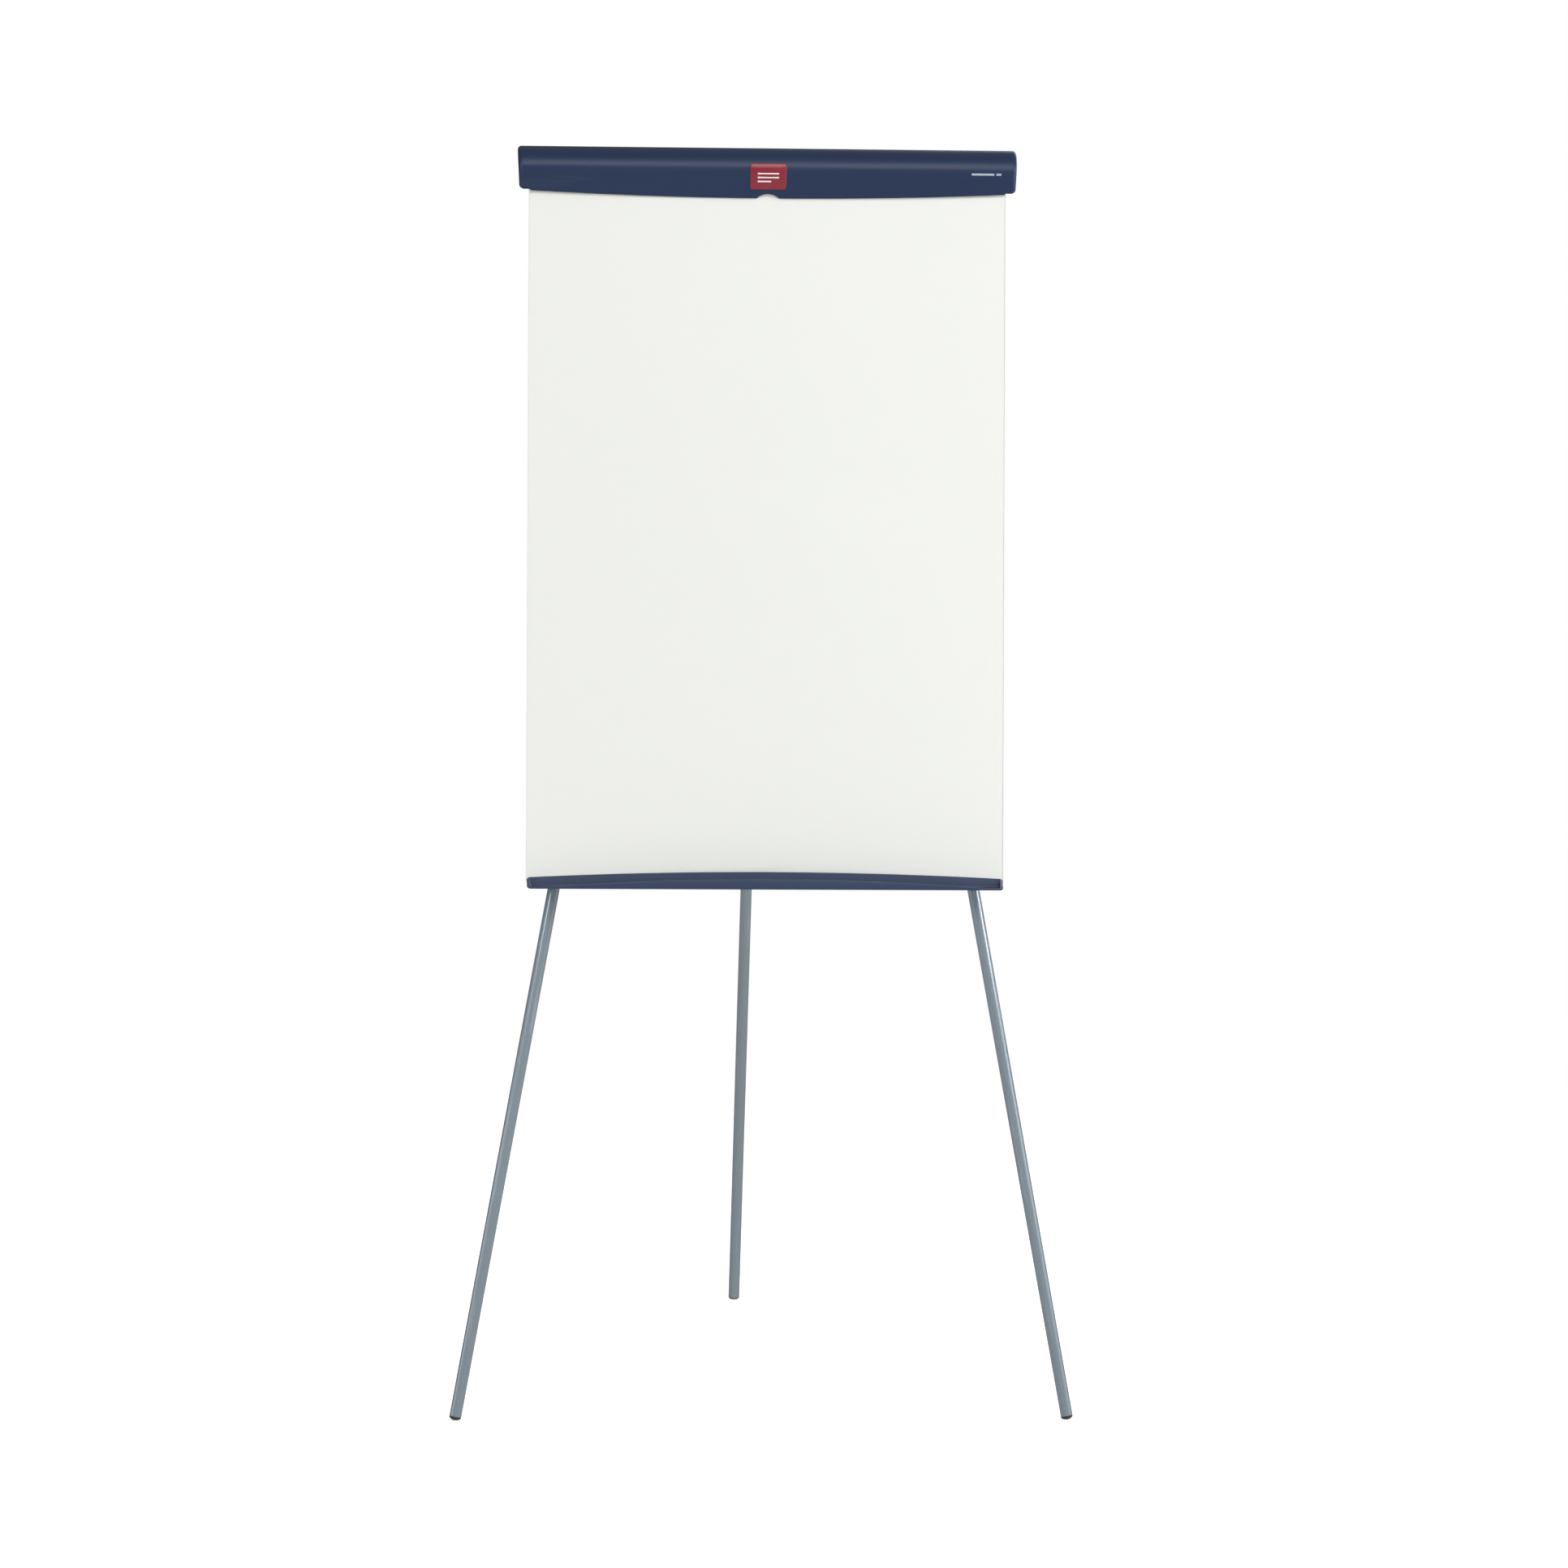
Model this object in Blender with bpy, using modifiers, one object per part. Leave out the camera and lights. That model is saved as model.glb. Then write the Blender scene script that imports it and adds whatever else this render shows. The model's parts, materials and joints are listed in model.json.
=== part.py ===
"""Tripod flipchart easel: a leaning board with a sprung pad clamp, a pen tray and three telescopic legs.

Metres, +Z up. The origin is on the floor, under the middle of the object's box. The board faces -Y
and leans back. Everything on the board is modelled in the board's own frame: X to the right, Y
towards the back, Z up along the board, with the front legs' centre lines in its Y = 0 plane and the
floor at Z = 0 under them. Each leg is modelled in a frame of its own, on its pivot, pointing down -Z.
"""

from math import asin, atan2, cos, hypot, pi, radians, sin, sqrt

import bmesh
import bpy
from mathutils import Vector

# ---------------------------------------------------------------- driving dimensions
LEAN = radians(7.0)  # the board and the front legs lean back by this
FRONT_FOOT_X = 0.434  # from the centre to a front foot, on the floor
FRONT_FOOT_Y = -0.4343  # line of the front feet
FOOT_SPREAD_Y = 0.870  # from the front feet back to the rear foot
FIT = 0.0003  # gap between pieces that touch

PIVOT_X = 0.134  # front leg pivots, from the centre
PIVOT_Z = 1.650  # front and rear leg pivots, up the board
REAR_PIVOT_Y = 0.034  # rear leg pivot, behind the plane of the front legs

BOARD_WIDTH = 0.675
BOARD_BOTTOM = 0.760
BOARD_HEIGHT = 1.000
BOARD_FRONT = -0.030
BOARD_THICK = 0.010
SHEET_THICK = 0.0009
EDGE_BAND = 0.0010

RAIL_WALL = 0.0012
RAIL_DROP = 0.010  # how far the rail's flanges reach down the board

CLAMP_TOP = 1.800
CLAMP_HALF = 0.3535  # half the clamp's length, at its top
CLAMP_TAPER = 0.0030  # its ends come in by this at the bottom
CLAMP_END_HEIGHT = 0.0624
CLAMP_MID_HEIGHT = 0.0735
CLAMP_WALL = 0.0025
CLAMP_END_WALL = 0.0030
ROLL_CENTRE = Vector((-0.010, -0.032))  # centre of the clamp's rounded front: Y, and Z below the top
ROLL_DEPTH = 0.034
ROLL_HEIGHT = 0.032
LIP_FRONT = -0.036  # front of the clamp's lower edge
CLAMP_BACK = 0.002
CLAMP_BACK_DROP = 0.022
NOTCH_RADIUS = 0.0243
NOTCH_DEPTH = 0.006
BADGE_WIDTH = 0.051
BADGE_TOP = 0.0250  # below the clamp's top
BADGE_BOTTOM = 0.0615
BADGE_THICK = 0.0007
BADGE_CORNER = 0.004

HINGE_Y = -0.012
HINGE_Z = CLAMP_TOP - 0.022
ROD_RADIUS = 0.0020
HINGE_HOLE = 0.0023
BRACKET_X = 0.250
BRACKET_HALF = 0.008

TRAY_BOTTOM = 0.750
TRAY_BACK_MID = 0.0246  # height of the tray's back wall at its middle
TRAY_BACK_CURVE = 0.076  # how fast that height falls, times x squared
TRAY_LIP_MID = 0.0144
TRAY_LIP_CURVE = 0.117
TRAY_DEPTH_MID = 0.048
TRAY_DEPTH_CURVE = 0.130
TRAY_HALF = 0.3360
TRAY_END_TAPER = 0.009  # the trough's ends come in by this share of their distance, at the lip
TRAY_WALL = 0.0025
TRAY_SEAT = 0.0097  # the board's lower edge rests this high in the tray
TRAY_STATIONS = 28

HOOK_X = 0.136
HOOK_HALF = 0.009

UPPER_RADIUS = 0.0100
UPPER_BORE = 0.0088
LOWER_RADIUS = 0.0085
LOWER_BORE = 0.0073
UPPER_TOP = 0.018  # the upper tubes reach this far above their pivots
UPPER_LENGTH = 0.850  # and this far below
COLLAR_TOP = -0.822
COLLAR_BOTTOM = -0.860
COLLAR_RADIUS = 0.0140
KNOB_Z = -0.838
LOWER_TOP = -0.700  # top of a lower tube, inside its upper tube
FOOT_CAP = 0.0050  # the rubber foot covers this much of a leg's end
FOOT_DOME = 0.0040
FOOT_SINK = 0.0005
BOLT_RADIUS = 0.0030
BOLT_HOLE = 0.0033

PLATE_HALF = 0.170
PLATE_BOTTOM = 1.605
PLATE_TOP = 1.690
PLATE_THICK = 0.0020
CLIP_Z = 0.902
CLIP_HALF = 0.014

NAVY = (0.030, 0.050, 0.105)
RED = (0.42, 0.030, 0.050)
LEG_GREY = (0.235, 0.275, 0.305)
WHITE = (0.86, 0.87, 0.85)
STEEL = (0.60, 0.61, 0.62)
ALLOY = (0.72, 0.73, 0.74)
BLACK = (0.035, 0.037, 0.040)
FIBRE = (0.45, 0.33, 0.22)
DARK_STEEL = (0.16, 0.17, 0.18)

BACK_FACE = BOARD_FRONT + BOARD_THICK
FOOT_SPHERE = (LOWER_RADIUS**2 + FOOT_DOME**2) / (2 * FOOT_DOME)

# ---------------------------------------------------------------- scene and materials
for old in list(bpy.data.objects):
    bpy.data.objects.remove(old)

easel = bpy.data.collections.new("flipchart_easel")
cutters = bpy.data.collections.new("cutters")
screw_holes = bpy.data.collections.new("screw_holes")
for collection in (easel, cutters, screw_holes):
    bpy.context.scene.collection.children.link(collection)


def material(name, colour, roughness, metallic=0.0):
    made = bpy.data.materials.new(name)
    made.use_nodes = True
    shader = made.node_tree.nodes["Principled BSDF"]
    shader.inputs["Base Color"].default_value = (*colour, 1.0)
    shader.inputs["Roughness"].default_value = roughness
    shader.inputs["Metallic"].default_value = metallic
    made.diffuse_color = (*colour, 1.0)
    return made


navy_plastic = material("navy_plastic", NAVY, 0.38)
red_badge = material("red_badge", RED, 0.30)
leg_paint = material("leg_paint", LEG_GREY, 0.35, 0.4)
melamine = material("melamine", WHITE, 0.22)
zinc_steel = material("zinc_steel", STEEL, 0.35, 1.0)
rail_alloy = material("rail_alloy", ALLOY, 0.35, 1.0)
black_plastic = material("black_plastic", BLACK, 0.55)
foot_rubber = material("foot_rubber", BLACK, 0.80)
fibreboard = material("fibreboard", FIBRE, 0.85)
plate_paint = material("plate_paint", DARK_STEEL, 0.45, 0.3)


# ---------------------------------------------------------------- shape helpers
def place(name, mesh, look, parent, location=(0, 0, 0), rotation=(0, 0, 0), smooth=True):
    """Put a mesh in the object's collection as a named sub-part."""
    piece = bpy.data.objects.new(name, mesh)
    easel.objects.link(piece)
    piece.parent = parent
    piece.location = location
    piece.rotation_euler = rotation
    mesh.materials.append(look)
    if smooth:
        mesh.shade_smooth()
        mesh.set_sharp_from_angle(angle=radians(35))
    return piece


def cutter(name, mesh, parent, location=(0, 0, 0), rotation=(0, 0, 0), group=cutters):
    """Put a mesh in a cutters' collection, hidden from renders."""
    tool = bpy.data.objects.new(name, mesh)
    group.objects.link(tool)
    tool.parent = parent
    tool.location = location
    tool.rotation_euler = rotation
    tool.hide_render = True
    tool.display_type = "WIRE"
    return tool


def combine(piece, tool, operation):
    step = piece.modifiers.new(f"{operation}_{tool.name}".lower(), "BOOLEAN")
    step.operation = operation
    step.solver = "EXACT"
    step.object = tool
    return step


def mesh_from(name, build):
    """A mesh made by build(bm), facing out."""
    mesh = bpy.data.meshes.new(name)
    bm = bmesh.new()
    build(bm)
    bmesh.ops.recalc_face_normals(bm, faces=bm.faces)
    bm.to_mesh(mesh)
    bm.free()
    return mesh


def box_mesh(name, low, high):
    """A box between two corners."""

    def build(bm):
        bmesh.ops.create_cube(bm, size=1.0)
        for vertex in bm.verts:
            for axis in range(3):
                middle = (low[axis] + high[axis]) / 2
                vertex.co[axis] = middle + vertex.co[axis] * (high[axis] - low[axis])

    return mesh_from(name, build)


def cylinder_mesh(name, radius, start, end, axis="Z", sides=20):
    """A cylinder along an axis, from start to end on it."""

    def build(bm):
        bmesh.ops.create_cone(
            bm, cap_ends=True, segments=sides, radius1=radius, radius2=radius, depth=end - start
        )
        for vertex in bm.verts:
            x, y, z = vertex.co.x, vertex.co.y, vertex.co.z + (start + end) / 2
            vertex.co = {"X": (z, x, y), "Y": (y, z, x), "Z": (x, y, z)}[axis]

    return mesh_from(name, build)


def turned(name, profile, look, parent, closed=False, sides=24, location=(0, 0, 0), rotation=(0, 0, 0)):
    """A turned piece: a profile of (radius, z) points, outer side from top to bottom, spun about Z."""
    mesh = bpy.data.meshes.new(name)
    edges = [(i, i + 1) for i in range(len(profile) - 1)]
    if closed:
        edges.append((len(profile) - 1, 0))
    mesh.from_pydata([(radius, 0, z) for radius, z in profile], edges, [])
    piece = place(name, mesh, look, parent, location, rotation, smooth=False)
    screw = piece.modifiers.new("turn", "SCREW")
    screw.steps = sides
    screw.render_steps = sides
    screw.use_merge_vertices = True
    screw.merge_threshold = 0.00001
    return piece


def ring_profile(inner, outer, bottom, top):
    return [(inner, top), (outer, top), (outer, bottom), (inner, bottom)]


def prism(name, outline, look, parent, along="X", half=0.5, location=(0, 0, 0), holes=()):
    """A flat outline, filled as a 2D curve and extruded to a half thickness each way.

    Outline points are (Y, Z) for a prism along X, (X, Z) for one along Y.
    """
    curve = bpy.data.curves.new(name, "CURVE")
    curve.dimensions = "2D"
    curve.fill_mode = "BOTH"
    curve.extrude = half
    for loop in (outline, *holes):
        spline = curve.splines.new("POLY")
        spline.points.add(len(loop) - 1)
        for point, (u, v) in zip(spline.points, loop):
            point.co = (u, v, 0, 1)
        spline.use_cyclic_u = True
    source = bpy.data.objects.new(name + "_outline", curve)
    bpy.context.scene.collection.objects.link(source)
    view = bpy.context.evaluated_depsgraph_get()
    mesh = bpy.data.meshes.new_from_object(source.evaluated_get(view))
    bpy.data.objects.remove(source)
    bm = bmesh.new()
    bm.from_mesh(mesh)
    bmesh.ops.remove_doubles(bm, verts=bm.verts, dist=0.000001)
    for vertex in bm.verts:
        u, v, w = vertex.co
        vertex.co = (w, u, v) if along == "X" else (u, -w, v)
    bmesh.ops.recalc_face_normals(bm, faces=bm.faces)
    bm.to_mesh(mesh)
    bm.free()
    mesh.name = name
    if look is None:
        return cutter(name, mesh, parent, location)
    return place(name, mesh, look, parent, location)


def loft(name, sections, look, parent):
    """A solid through closed sections with the same number of points, capped at both ends."""

    def build(bm):
        rows = [[bm.verts.new(point) for point in section] for section in sections]
        count = len(rows[0])
        for row, following in zip(rows, rows[1:]):
            for i in range(count):
                j = (i + 1) % count
                bm.faces.new((row[i], row[j], following[j], following[i]))
        bm.faces.new(rows[0])
        bm.faces.new(rows[-1])

    return place(name, mesh_from(name, build), look, parent)


def arc(centre, radius, start, end, steps):
    """Points on an arc, angles in degrees."""
    points = []
    for i in range(steps + 1):
        angle = radians(start + (end - start) * i / steps)
        points.append((centre[0] + radius * cos(angle), centre[1] + radius * sin(angle)))
    return points


def rounded_rectangle(left, bottom, right, top, radius, steps=4):
    return (
        arc((right - radius, top - radius), radius, 0, 90, steps)
        + arc((left + radius, top - radius), radius, 90, 180, steps)
        + arc((left + radius, bottom + radius), radius, 180, 270, steps)
        + arc((right - radius, bottom + radius), radius, 270, 360, steps)
    )


def circle(centre, radius, steps=16):
    return arc(centre, radius, 0, 360 * (steps - 1) / steps, steps - 1)


def empty(name, parent, location, rotation=(0, 0, 0)):
    frame = bpy.data.objects.new(name, None)
    easel.objects.link(frame)
    frame.parent = parent
    frame.location = location
    frame.rotation_euler = rotation
    return frame


# ---------------------------------------------------------------- screws in the board
def board_screw(name, x, z, seat):
    """A pan-head screw from the back: its head sits on seat, its shank runs into the board's core."""
    head, shank, point = 0.0042, 0.0018, BACK_FACE - 0.006
    top = seat + FIT + 0.0024
    profile = [
        (0, top),
        (head * 0.62, top),
        (head, seat + FIT + 0.0009),
        (head, seat + FIT),
        (shank, seat + FIT),
        (shank, point + 0.0015),
        (0, point),
    ]
    turned(name, profile, zinc_steel, board, sides=12, location=(x, 0, z), rotation=(-pi / 2, 0, 0))
    hole = cylinder_mesh(name + "_hole", shank + FIT, point - 0.0005, seat + 0.01, "Y", 12)
    return cutter(name + "_hole", hole, board, (x, 0, z), group=screw_holes)


# ---------------------------------------------------------------- the board
def build_board_panel():
    """Core between two sheets, with an edging strip on each side."""
    half = BOARD_WIDTH / 2
    top = BOARD_BOTTOM + BOARD_HEIGHT
    side = half - EDGE_BAND - FIT
    layers = {
        "writing_face": (BOARD_FRONT, BOARD_FRONT + SHEET_THICK, melamine),
        "board_core": (BOARD_FRONT + SHEET_THICK + FIT, BACK_FACE - SHEET_THICK - FIT, fibreboard),
        "board_back_sheet": (BACK_FACE - SHEET_THICK, BACK_FACE, melamine),
    }
    for name, (front, back, look) in layers.items():
        mesh = box_mesh(name, (-side, front, BOARD_BOTTOM), (side, back, top))
        layer = place(name, mesh, look, board, smooth=False)
        if name != "writing_face":
            holes = layer.modifiers.new("screw_holes", "BOOLEAN")
            holes.operation = "DIFFERENCE"
            holes.solver = "EXACT"
            holes.operand_type = "COLLECTION"
            holes.collection = screw_holes
    for name, start in (("edge_band_left", -half), ("edge_band_right", half - EDGE_BAND)):
        low = (start, BOARD_FRONT, BOARD_BOTTOM)
        high = (start + EDGE_BAND, BACK_FACE, top)
        place(name, box_mesh(name, low, high), melamine, board, smooth=False)


def build_top_rail():
    """U-section cap on the board's top edge, on which the pad hooks slide."""
    front, back = BOARD_FRONT - FIT, BACK_FACE + FIT
    under = BOARD_BOTTOM + BOARD_HEIGHT + FIT
    foot = under - RAIL_DROP
    outline = [
        (front - RAIL_WALL, foot),
        (front, foot),
        (front, under),
        (back, under),
        (back, foot),
        (back + RAIL_WALL, foot),
        (back + RAIL_WALL, under + RAIL_WALL),
        (front - RAIL_WALL, under + RAIL_WALL),
    ]
    prism("top_rail", outline, rail_alloy, board, "X", BOARD_WIDTH / 2)


def build_pen_tray():
    """Channel that grips the board's lower edge, with a trough in front whose walls arch along X."""
    cheek = TRAY_HALF - TRAY_WALL
    back_in, back_out = BOARD_FRONT - FIT, BOARD_FRONT - FIT - TRAY_WALL
    flange_in, flange_out = BACK_FACE + FIT, BACK_FACE + FIT + TRAY_WALL
    under_seat = TRAY_SEAT - TRAY_WALL

    def section(x, filled):
        back_height = TRAY_BACK_MID - TRAY_BACK_CURVE * x * x
        lip_height = max(TRAY_LIP_MID - TRAY_LIP_CURVE * x * x, TRAY_WALL + 0.0006)
        lip = back_out - (TRAY_DEPTH_MID - TRAY_DEPTH_CURVE * x * x)
        trough_back, trough_front = TRAY_WALL, TRAY_WALL
        if filled:
            trough_back, trough_front = back_height - 0.0001, lip_height - 0.0001
        outline = [
            (flange_out, under_seat),
            (flange_out, 0.022),
            (flange_in, 0.022),
            (flange_in, TRAY_SEAT),
            (back_in, TRAY_SEAT),
            (back_in, back_height),
            (back_out, back_height),
            (back_out - 0.0002, trough_back),
            (lip + 0.0002, trough_front),
            (lip - 0.0006, lip_height),
            (lip - 0.0006 - TRAY_WALL, lip_height),
            (lip - TRAY_WALL, 0.0),
            (back_in, 0.0),
            (back_in, under_seat),
        ]
        points = []
        for y, z in outline:
            reach = max(0.0, (back_out - y) / TRAY_DEPTH_MID)
            points.append((x * (1 - TRAY_END_TAPER * reach), y, TRAY_BOTTOM + z))
        return points

    sections = [section(-TRAY_HALF, True), section(-cheek, True)]
    for i in range(TRAY_STATIONS + 1):
        x = (cheek - 0.0001) * (2 * i / TRAY_STATIONS - 1)
        sections.append(section(x, False))
    sections += [section(cheek, True), section(TRAY_HALF, True)]
    tray = loft("pen_tray", sections, navy_plastic, board)
    for i, x in enumerate((-0.28, -0.095, 0.095, 0.28), 1):
        combine(tray, board_screw(f"tray_screw_{i}", x, TRAY_BOTTOM + 0.0165, flange_out), "DIFFERENCE")


# ---------------------------------------------------------------- the pad clamp
def lip_y(drop):
    """Front of the lip below the rounded crest: it comes in towards the board, slightly curved."""
    reach = CLAMP_MID_HEIGHT + ROLL_CENTRE.y
    share = (drop + ROLL_CENTRE.y) / reach
    crest = ROLL_CENTRE.x - ROLL_DEPTH
    return crest + (LIP_FRONT - crest) * (0.35 * share + 0.65 * share * share)


def clamp_section(inset, bottom, steps=9):
    """The clamp's outer surface, from its back edge over the top to its lower edge, moved in by inset."""
    points = [(CLAMP_BACK - inset, -CLAMP_BACK_DROP)]
    back_radius = CLAMP_BACK - ROLL_CENTRE.x - inset
    for i in range(steps + 1):
        angle = pi / 2 * i / steps
        points.append((ROLL_CENTRE.x + back_radius * cos(angle), -0.012 + (0.012 - inset) * sin(angle)))
    for i in range(1, steps + 1):
        angle = pi / 2 * i / steps
        y = ROLL_CENTRE.x - (ROLL_DEPTH - inset) * sin(angle)
        points.append((y, ROLL_CENTRE.y + (ROLL_HEIGHT - inset) * cos(angle)))
    for i in range(1, 6):
        drop = -ROLL_CENTRE.y + (bottom + ROLL_CENTRE.y) * i / 5
        points.append((lip_y(drop) + inset, -drop))
    return points


def clamp_front_outline():
    """Front view: straight top, ends that taper, a bowed lower edge with a finger notch."""
    side_top, side_bottom = CLAMP_HALF, CLAMP_HALF - CLAMP_TAPER
    corner = 0.0045
    end = -CLAMP_END_HEIGHT
    bow_start = BOARD_WIDTH / 2
    mid = -CLAMP_MID_HEIGHT
    bow_end = end - 0.0016
    bow = (bow_end - mid) / bow_start**2
    right = arc((side_top - corner, -corner), corner, 90, 0, 4)
    right += arc((side_bottom - corner, end + corner), corner, 0, -90, 4)
    right.append((bow_start + 0.001, end))
    notch_half = sqrt(NOTCH_RADIUS**2 - (NOTCH_RADIUS - NOTCH_DEPTH) ** 2)
    for i in range(13):
        x = bow_start + (notch_half + 0.003 - bow_start) * i / 12
        right.append((x, mid + bow * x * x))
    notch_angle = asin(notch_half / NOTCH_RADIUS)
    centre_z = mid - NOTCH_RADIUS + NOTCH_DEPTH
    for i in range(7):
        angle = notch_angle * (1 - i / 6)
        right.append((NOTCH_RADIUS * sin(angle), centre_z + NOTCH_RADIUS * cos(angle)))
    left = [(-x, z) for x, z in reversed(right[:-1])]
    return right + left


def build_clamp():
    """Bar with closed ends, hollow towards the board, with two pairs of hinge lugs inside."""
    bar = prism("clamp_bar", clamp_section(0, 0.080), navy_plastic, clamp, "X", CLAMP_HALF + 0.002)
    outline = prism("clamp_outline", clamp_front_outline(), None, clamp, "Y", 0.08)
    combine(bar, outline, "INTERSECT")

    hollow = clamp_section(CLAMP_WALL, 0.085)
    hollow[0] = (hollow[0][0], -0.030)
    hollow += [(0.02, -0.085), (0.02, -0.030)]
    inner_half = CLAMP_HALF - CLAMP_END_WALL
    combine(bar, prism("clamp_hollow", hollow, None, clamp, "X", inner_half), "DIFFERENCE")

    hinge = (HINGE_Y, HINGE_Z - CLAMP_TOP)
    lug = [(-0.026, hinge[1] + 0.003)]
    lug += arc(hinge, 0.0052, 200, 340, 8)
    lug += [(CLAMP_BACK - CLAMP_WALL + 0.001, hinge[1] + 0.006)]
    lug += [(-0.0015, -0.0085), (-0.010, -0.0012), (-0.020, -0.0022), (-0.030, -0.0055), (-0.033, -0.0085)]
    for side in (-1, 1):
        for offset in (-0.0145, 0.0285):
            name = f"clamp_lug_{'left' if side < 0 else 'right'}_{'inner' if offset < 0 else 'outer'}"
            x = side * (BRACKET_X + offset)
            combine(bar, prism(name, lug, None, clamp, "X", 0.0015, (x, 0, 0)), "UNION")
    bore = cylinder_mesh("clamp_bore", HINGE_HOLE, -0.3, 0.3, "X", 16)
    combine(bar, cutter("clamp_bore", bore, clamp, (0, *hinge)), "DIFFERENCE")


def build_badge():
    """Thin plain inlay that follows the clamp's front, with rounded corners."""
    outer, inner = [], []
    for i in range(11):
        drop = BADGE_TOP + (BADGE_BOTTOM - BADGE_TOP) * i / 10
        if drop < -ROLL_CENTRE.y:
            height = (-drop - ROLL_CENTRE.y) / ROLL_HEIGHT
            y = ROLL_CENTRE.x - ROLL_DEPTH * sqrt(1 - height * height)
        else:
            y = lip_y(drop)
        inner.append((y - FIT, -drop))
        outer.append((y - FIT - BADGE_THICK, -drop))
    half = BADGE_WIDTH / 2
    badge = prism("clamp_badge", outer + inner[::-1], red_badge, clamp, "X", half)
    shape = rounded_rectangle(-half, -BADGE_BOTTOM, half, -BADGE_TOP, BADGE_CORNER)
    combine(badge, prism("badge_outline", shape, None, clamp, "Y", 0.08), "INTERSECT")


def build_hinge():
    """Rod, two brackets on the board's back and two closing springs."""
    rod = cylinder_mesh("hinge_rod", ROD_RADIUS, -0.286, 0.286, "X", 16)
    place("hinge_rod", rod, zinc_steel, board, (0, HINGE_Y, HINGE_Z))
    rail_back = BACK_FACE + FIT + RAIL_WALL + FIT
    rail_foot = BOARD_BOTTOM + BOARD_HEIGHT + FIT - RAIL_DROP - FIT
    plate_back = -0.0167
    for name, side in (("left", -1), ("right", 1)):
        outline = [
            (BACK_FACE + FIT, 1.700),
            (plate_back, 1.700),
            (plate_back, HINGE_Z - 0.0050),
            (HINGE_Y + 0.0035, HINGE_Z - 0.0040),
        ]
        outline += arc((HINGE_Y, HINGE_Z), 0.0050, -40, 180, 10)
        outline += [(HINGE_Y - 0.0050, HINGE_Z - 0.004), (rail_back, HINGE_Z - 0.008)]
        outline += [(rail_back, rail_foot), (BACK_FACE + FIT, rail_foot)]
        eye = circle((HINGE_Y, HINGE_Z), HINGE_HOLE)
        x = side * BRACKET_X
        bracket = prism(
            f"hinge_bracket_{name}", outline, plate_paint, board, "X", BRACKET_HALF, (x, 0, 0), [eye]
        )
        hole = board_screw(f"bracket_screw_{name}", x, 1.720, plate_back)
        combine(bracket, hole, "DIFFERENCE")
        build_spring(name, side)


def build_spring(name, side):
    """Torsion spring on the rod: one leg down on the board's back, one under the clamp's back edge."""
    coil, wire, turns, per_turn = 0.0040, 0.0006, 5, 10
    start = BRACKET_X + BRACKET_HALF + 0.003
    pitch = 2 * wire + 0.0002
    route = [(start, HINGE_Y - coil, HINGE_Z - 0.012)]
    steps = int(turns * per_turn + per_turn * 0.38)
    for i in range(steps + 1):
        turn = i / per_turn
        angle = pi - 2 * pi * turn
        route.append((start + pitch * turn, HINGE_Y + coil * cos(angle), HINGE_Z + coil * sin(angle)))
    route.append((start + pitch * steps / per_turn, HINGE_Y + 0.0105, HINGE_Z + 0.0005))
    curve = bpy.data.curves.new(f"torsion_spring_{name}", "CURVE")
    curve.dimensions = "3D"
    curve.bevel_depth = wire
    curve.bevel_resolution = 1
    curve.use_fill_caps = True
    spline = curve.splines.new("POLY")
    spline.points.add(len(route) - 1)
    for point, (x, y, z) in zip(spline.points, route):
        point.co = (side * x, y, z, 1)
    spring = bpy.data.objects.new(f"torsion_spring_{name}", curve)
    easel.objects.link(spring)
    spring.parent = board
    curve.materials.append(zinc_steel)


def build_pad_hook(name, side):
    """Saddle on the top rail with a peg in front for a pad's punched hole."""
    frame = empty(f"pad_hook_{name}_slide", board, (side * HOOK_X, 0, 0))
    rail_front = BOARD_FRONT - FIT - RAIL_WALL - FIT
    rail_back = BACK_FACE + FIT + RAIL_WALL + FIT
    rail_top = BOARD_BOTTOM + BOARD_HEIGHT + FIT + RAIL_WALL + FIT
    wall = 0.0020
    peg_z, peg_tip = 1.7645, -0.0404
    outline = [
        (rail_front - wall, 1.7440),
        (rail_front, 1.7440),
        (rail_front, rail_top),
        (rail_back, rail_top),
        (rail_back, 1.7510),
        (rail_back + wall, 1.7510),
        (rail_back + wall, rail_top + 0.0015),
        (rail_back + wall * 0.5, rail_top + wall),
        (rail_front - wall * 0.5, rail_top + wall),
        (rail_front - wall, rail_top + 0.0015),
    ]
    hook = prism(f"pad_hook_{name}", outline, black_plastic, frame, "X", HOOK_HALF)
    peg = cylinder_mesh(f"pad_hook_{name}_peg", 0.0026, peg_tip, rail_front - 0.001, "Y", 14)
    combine(hook, cutter(f"pad_hook_{name}_peg", peg, frame, (0, 0, peg_z - 0.004)), "UNION")
    tip = cylinder_mesh(f"pad_hook_{name}_tip", 0.0016, peg_z - 0.004, peg_z + 0.0015, "Z", 12)
    combine(hook, cutter(f"pad_hook_{name}_tip", tip, frame, (0, peg_tip + 0.0018, 0)), "UNION")


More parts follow.
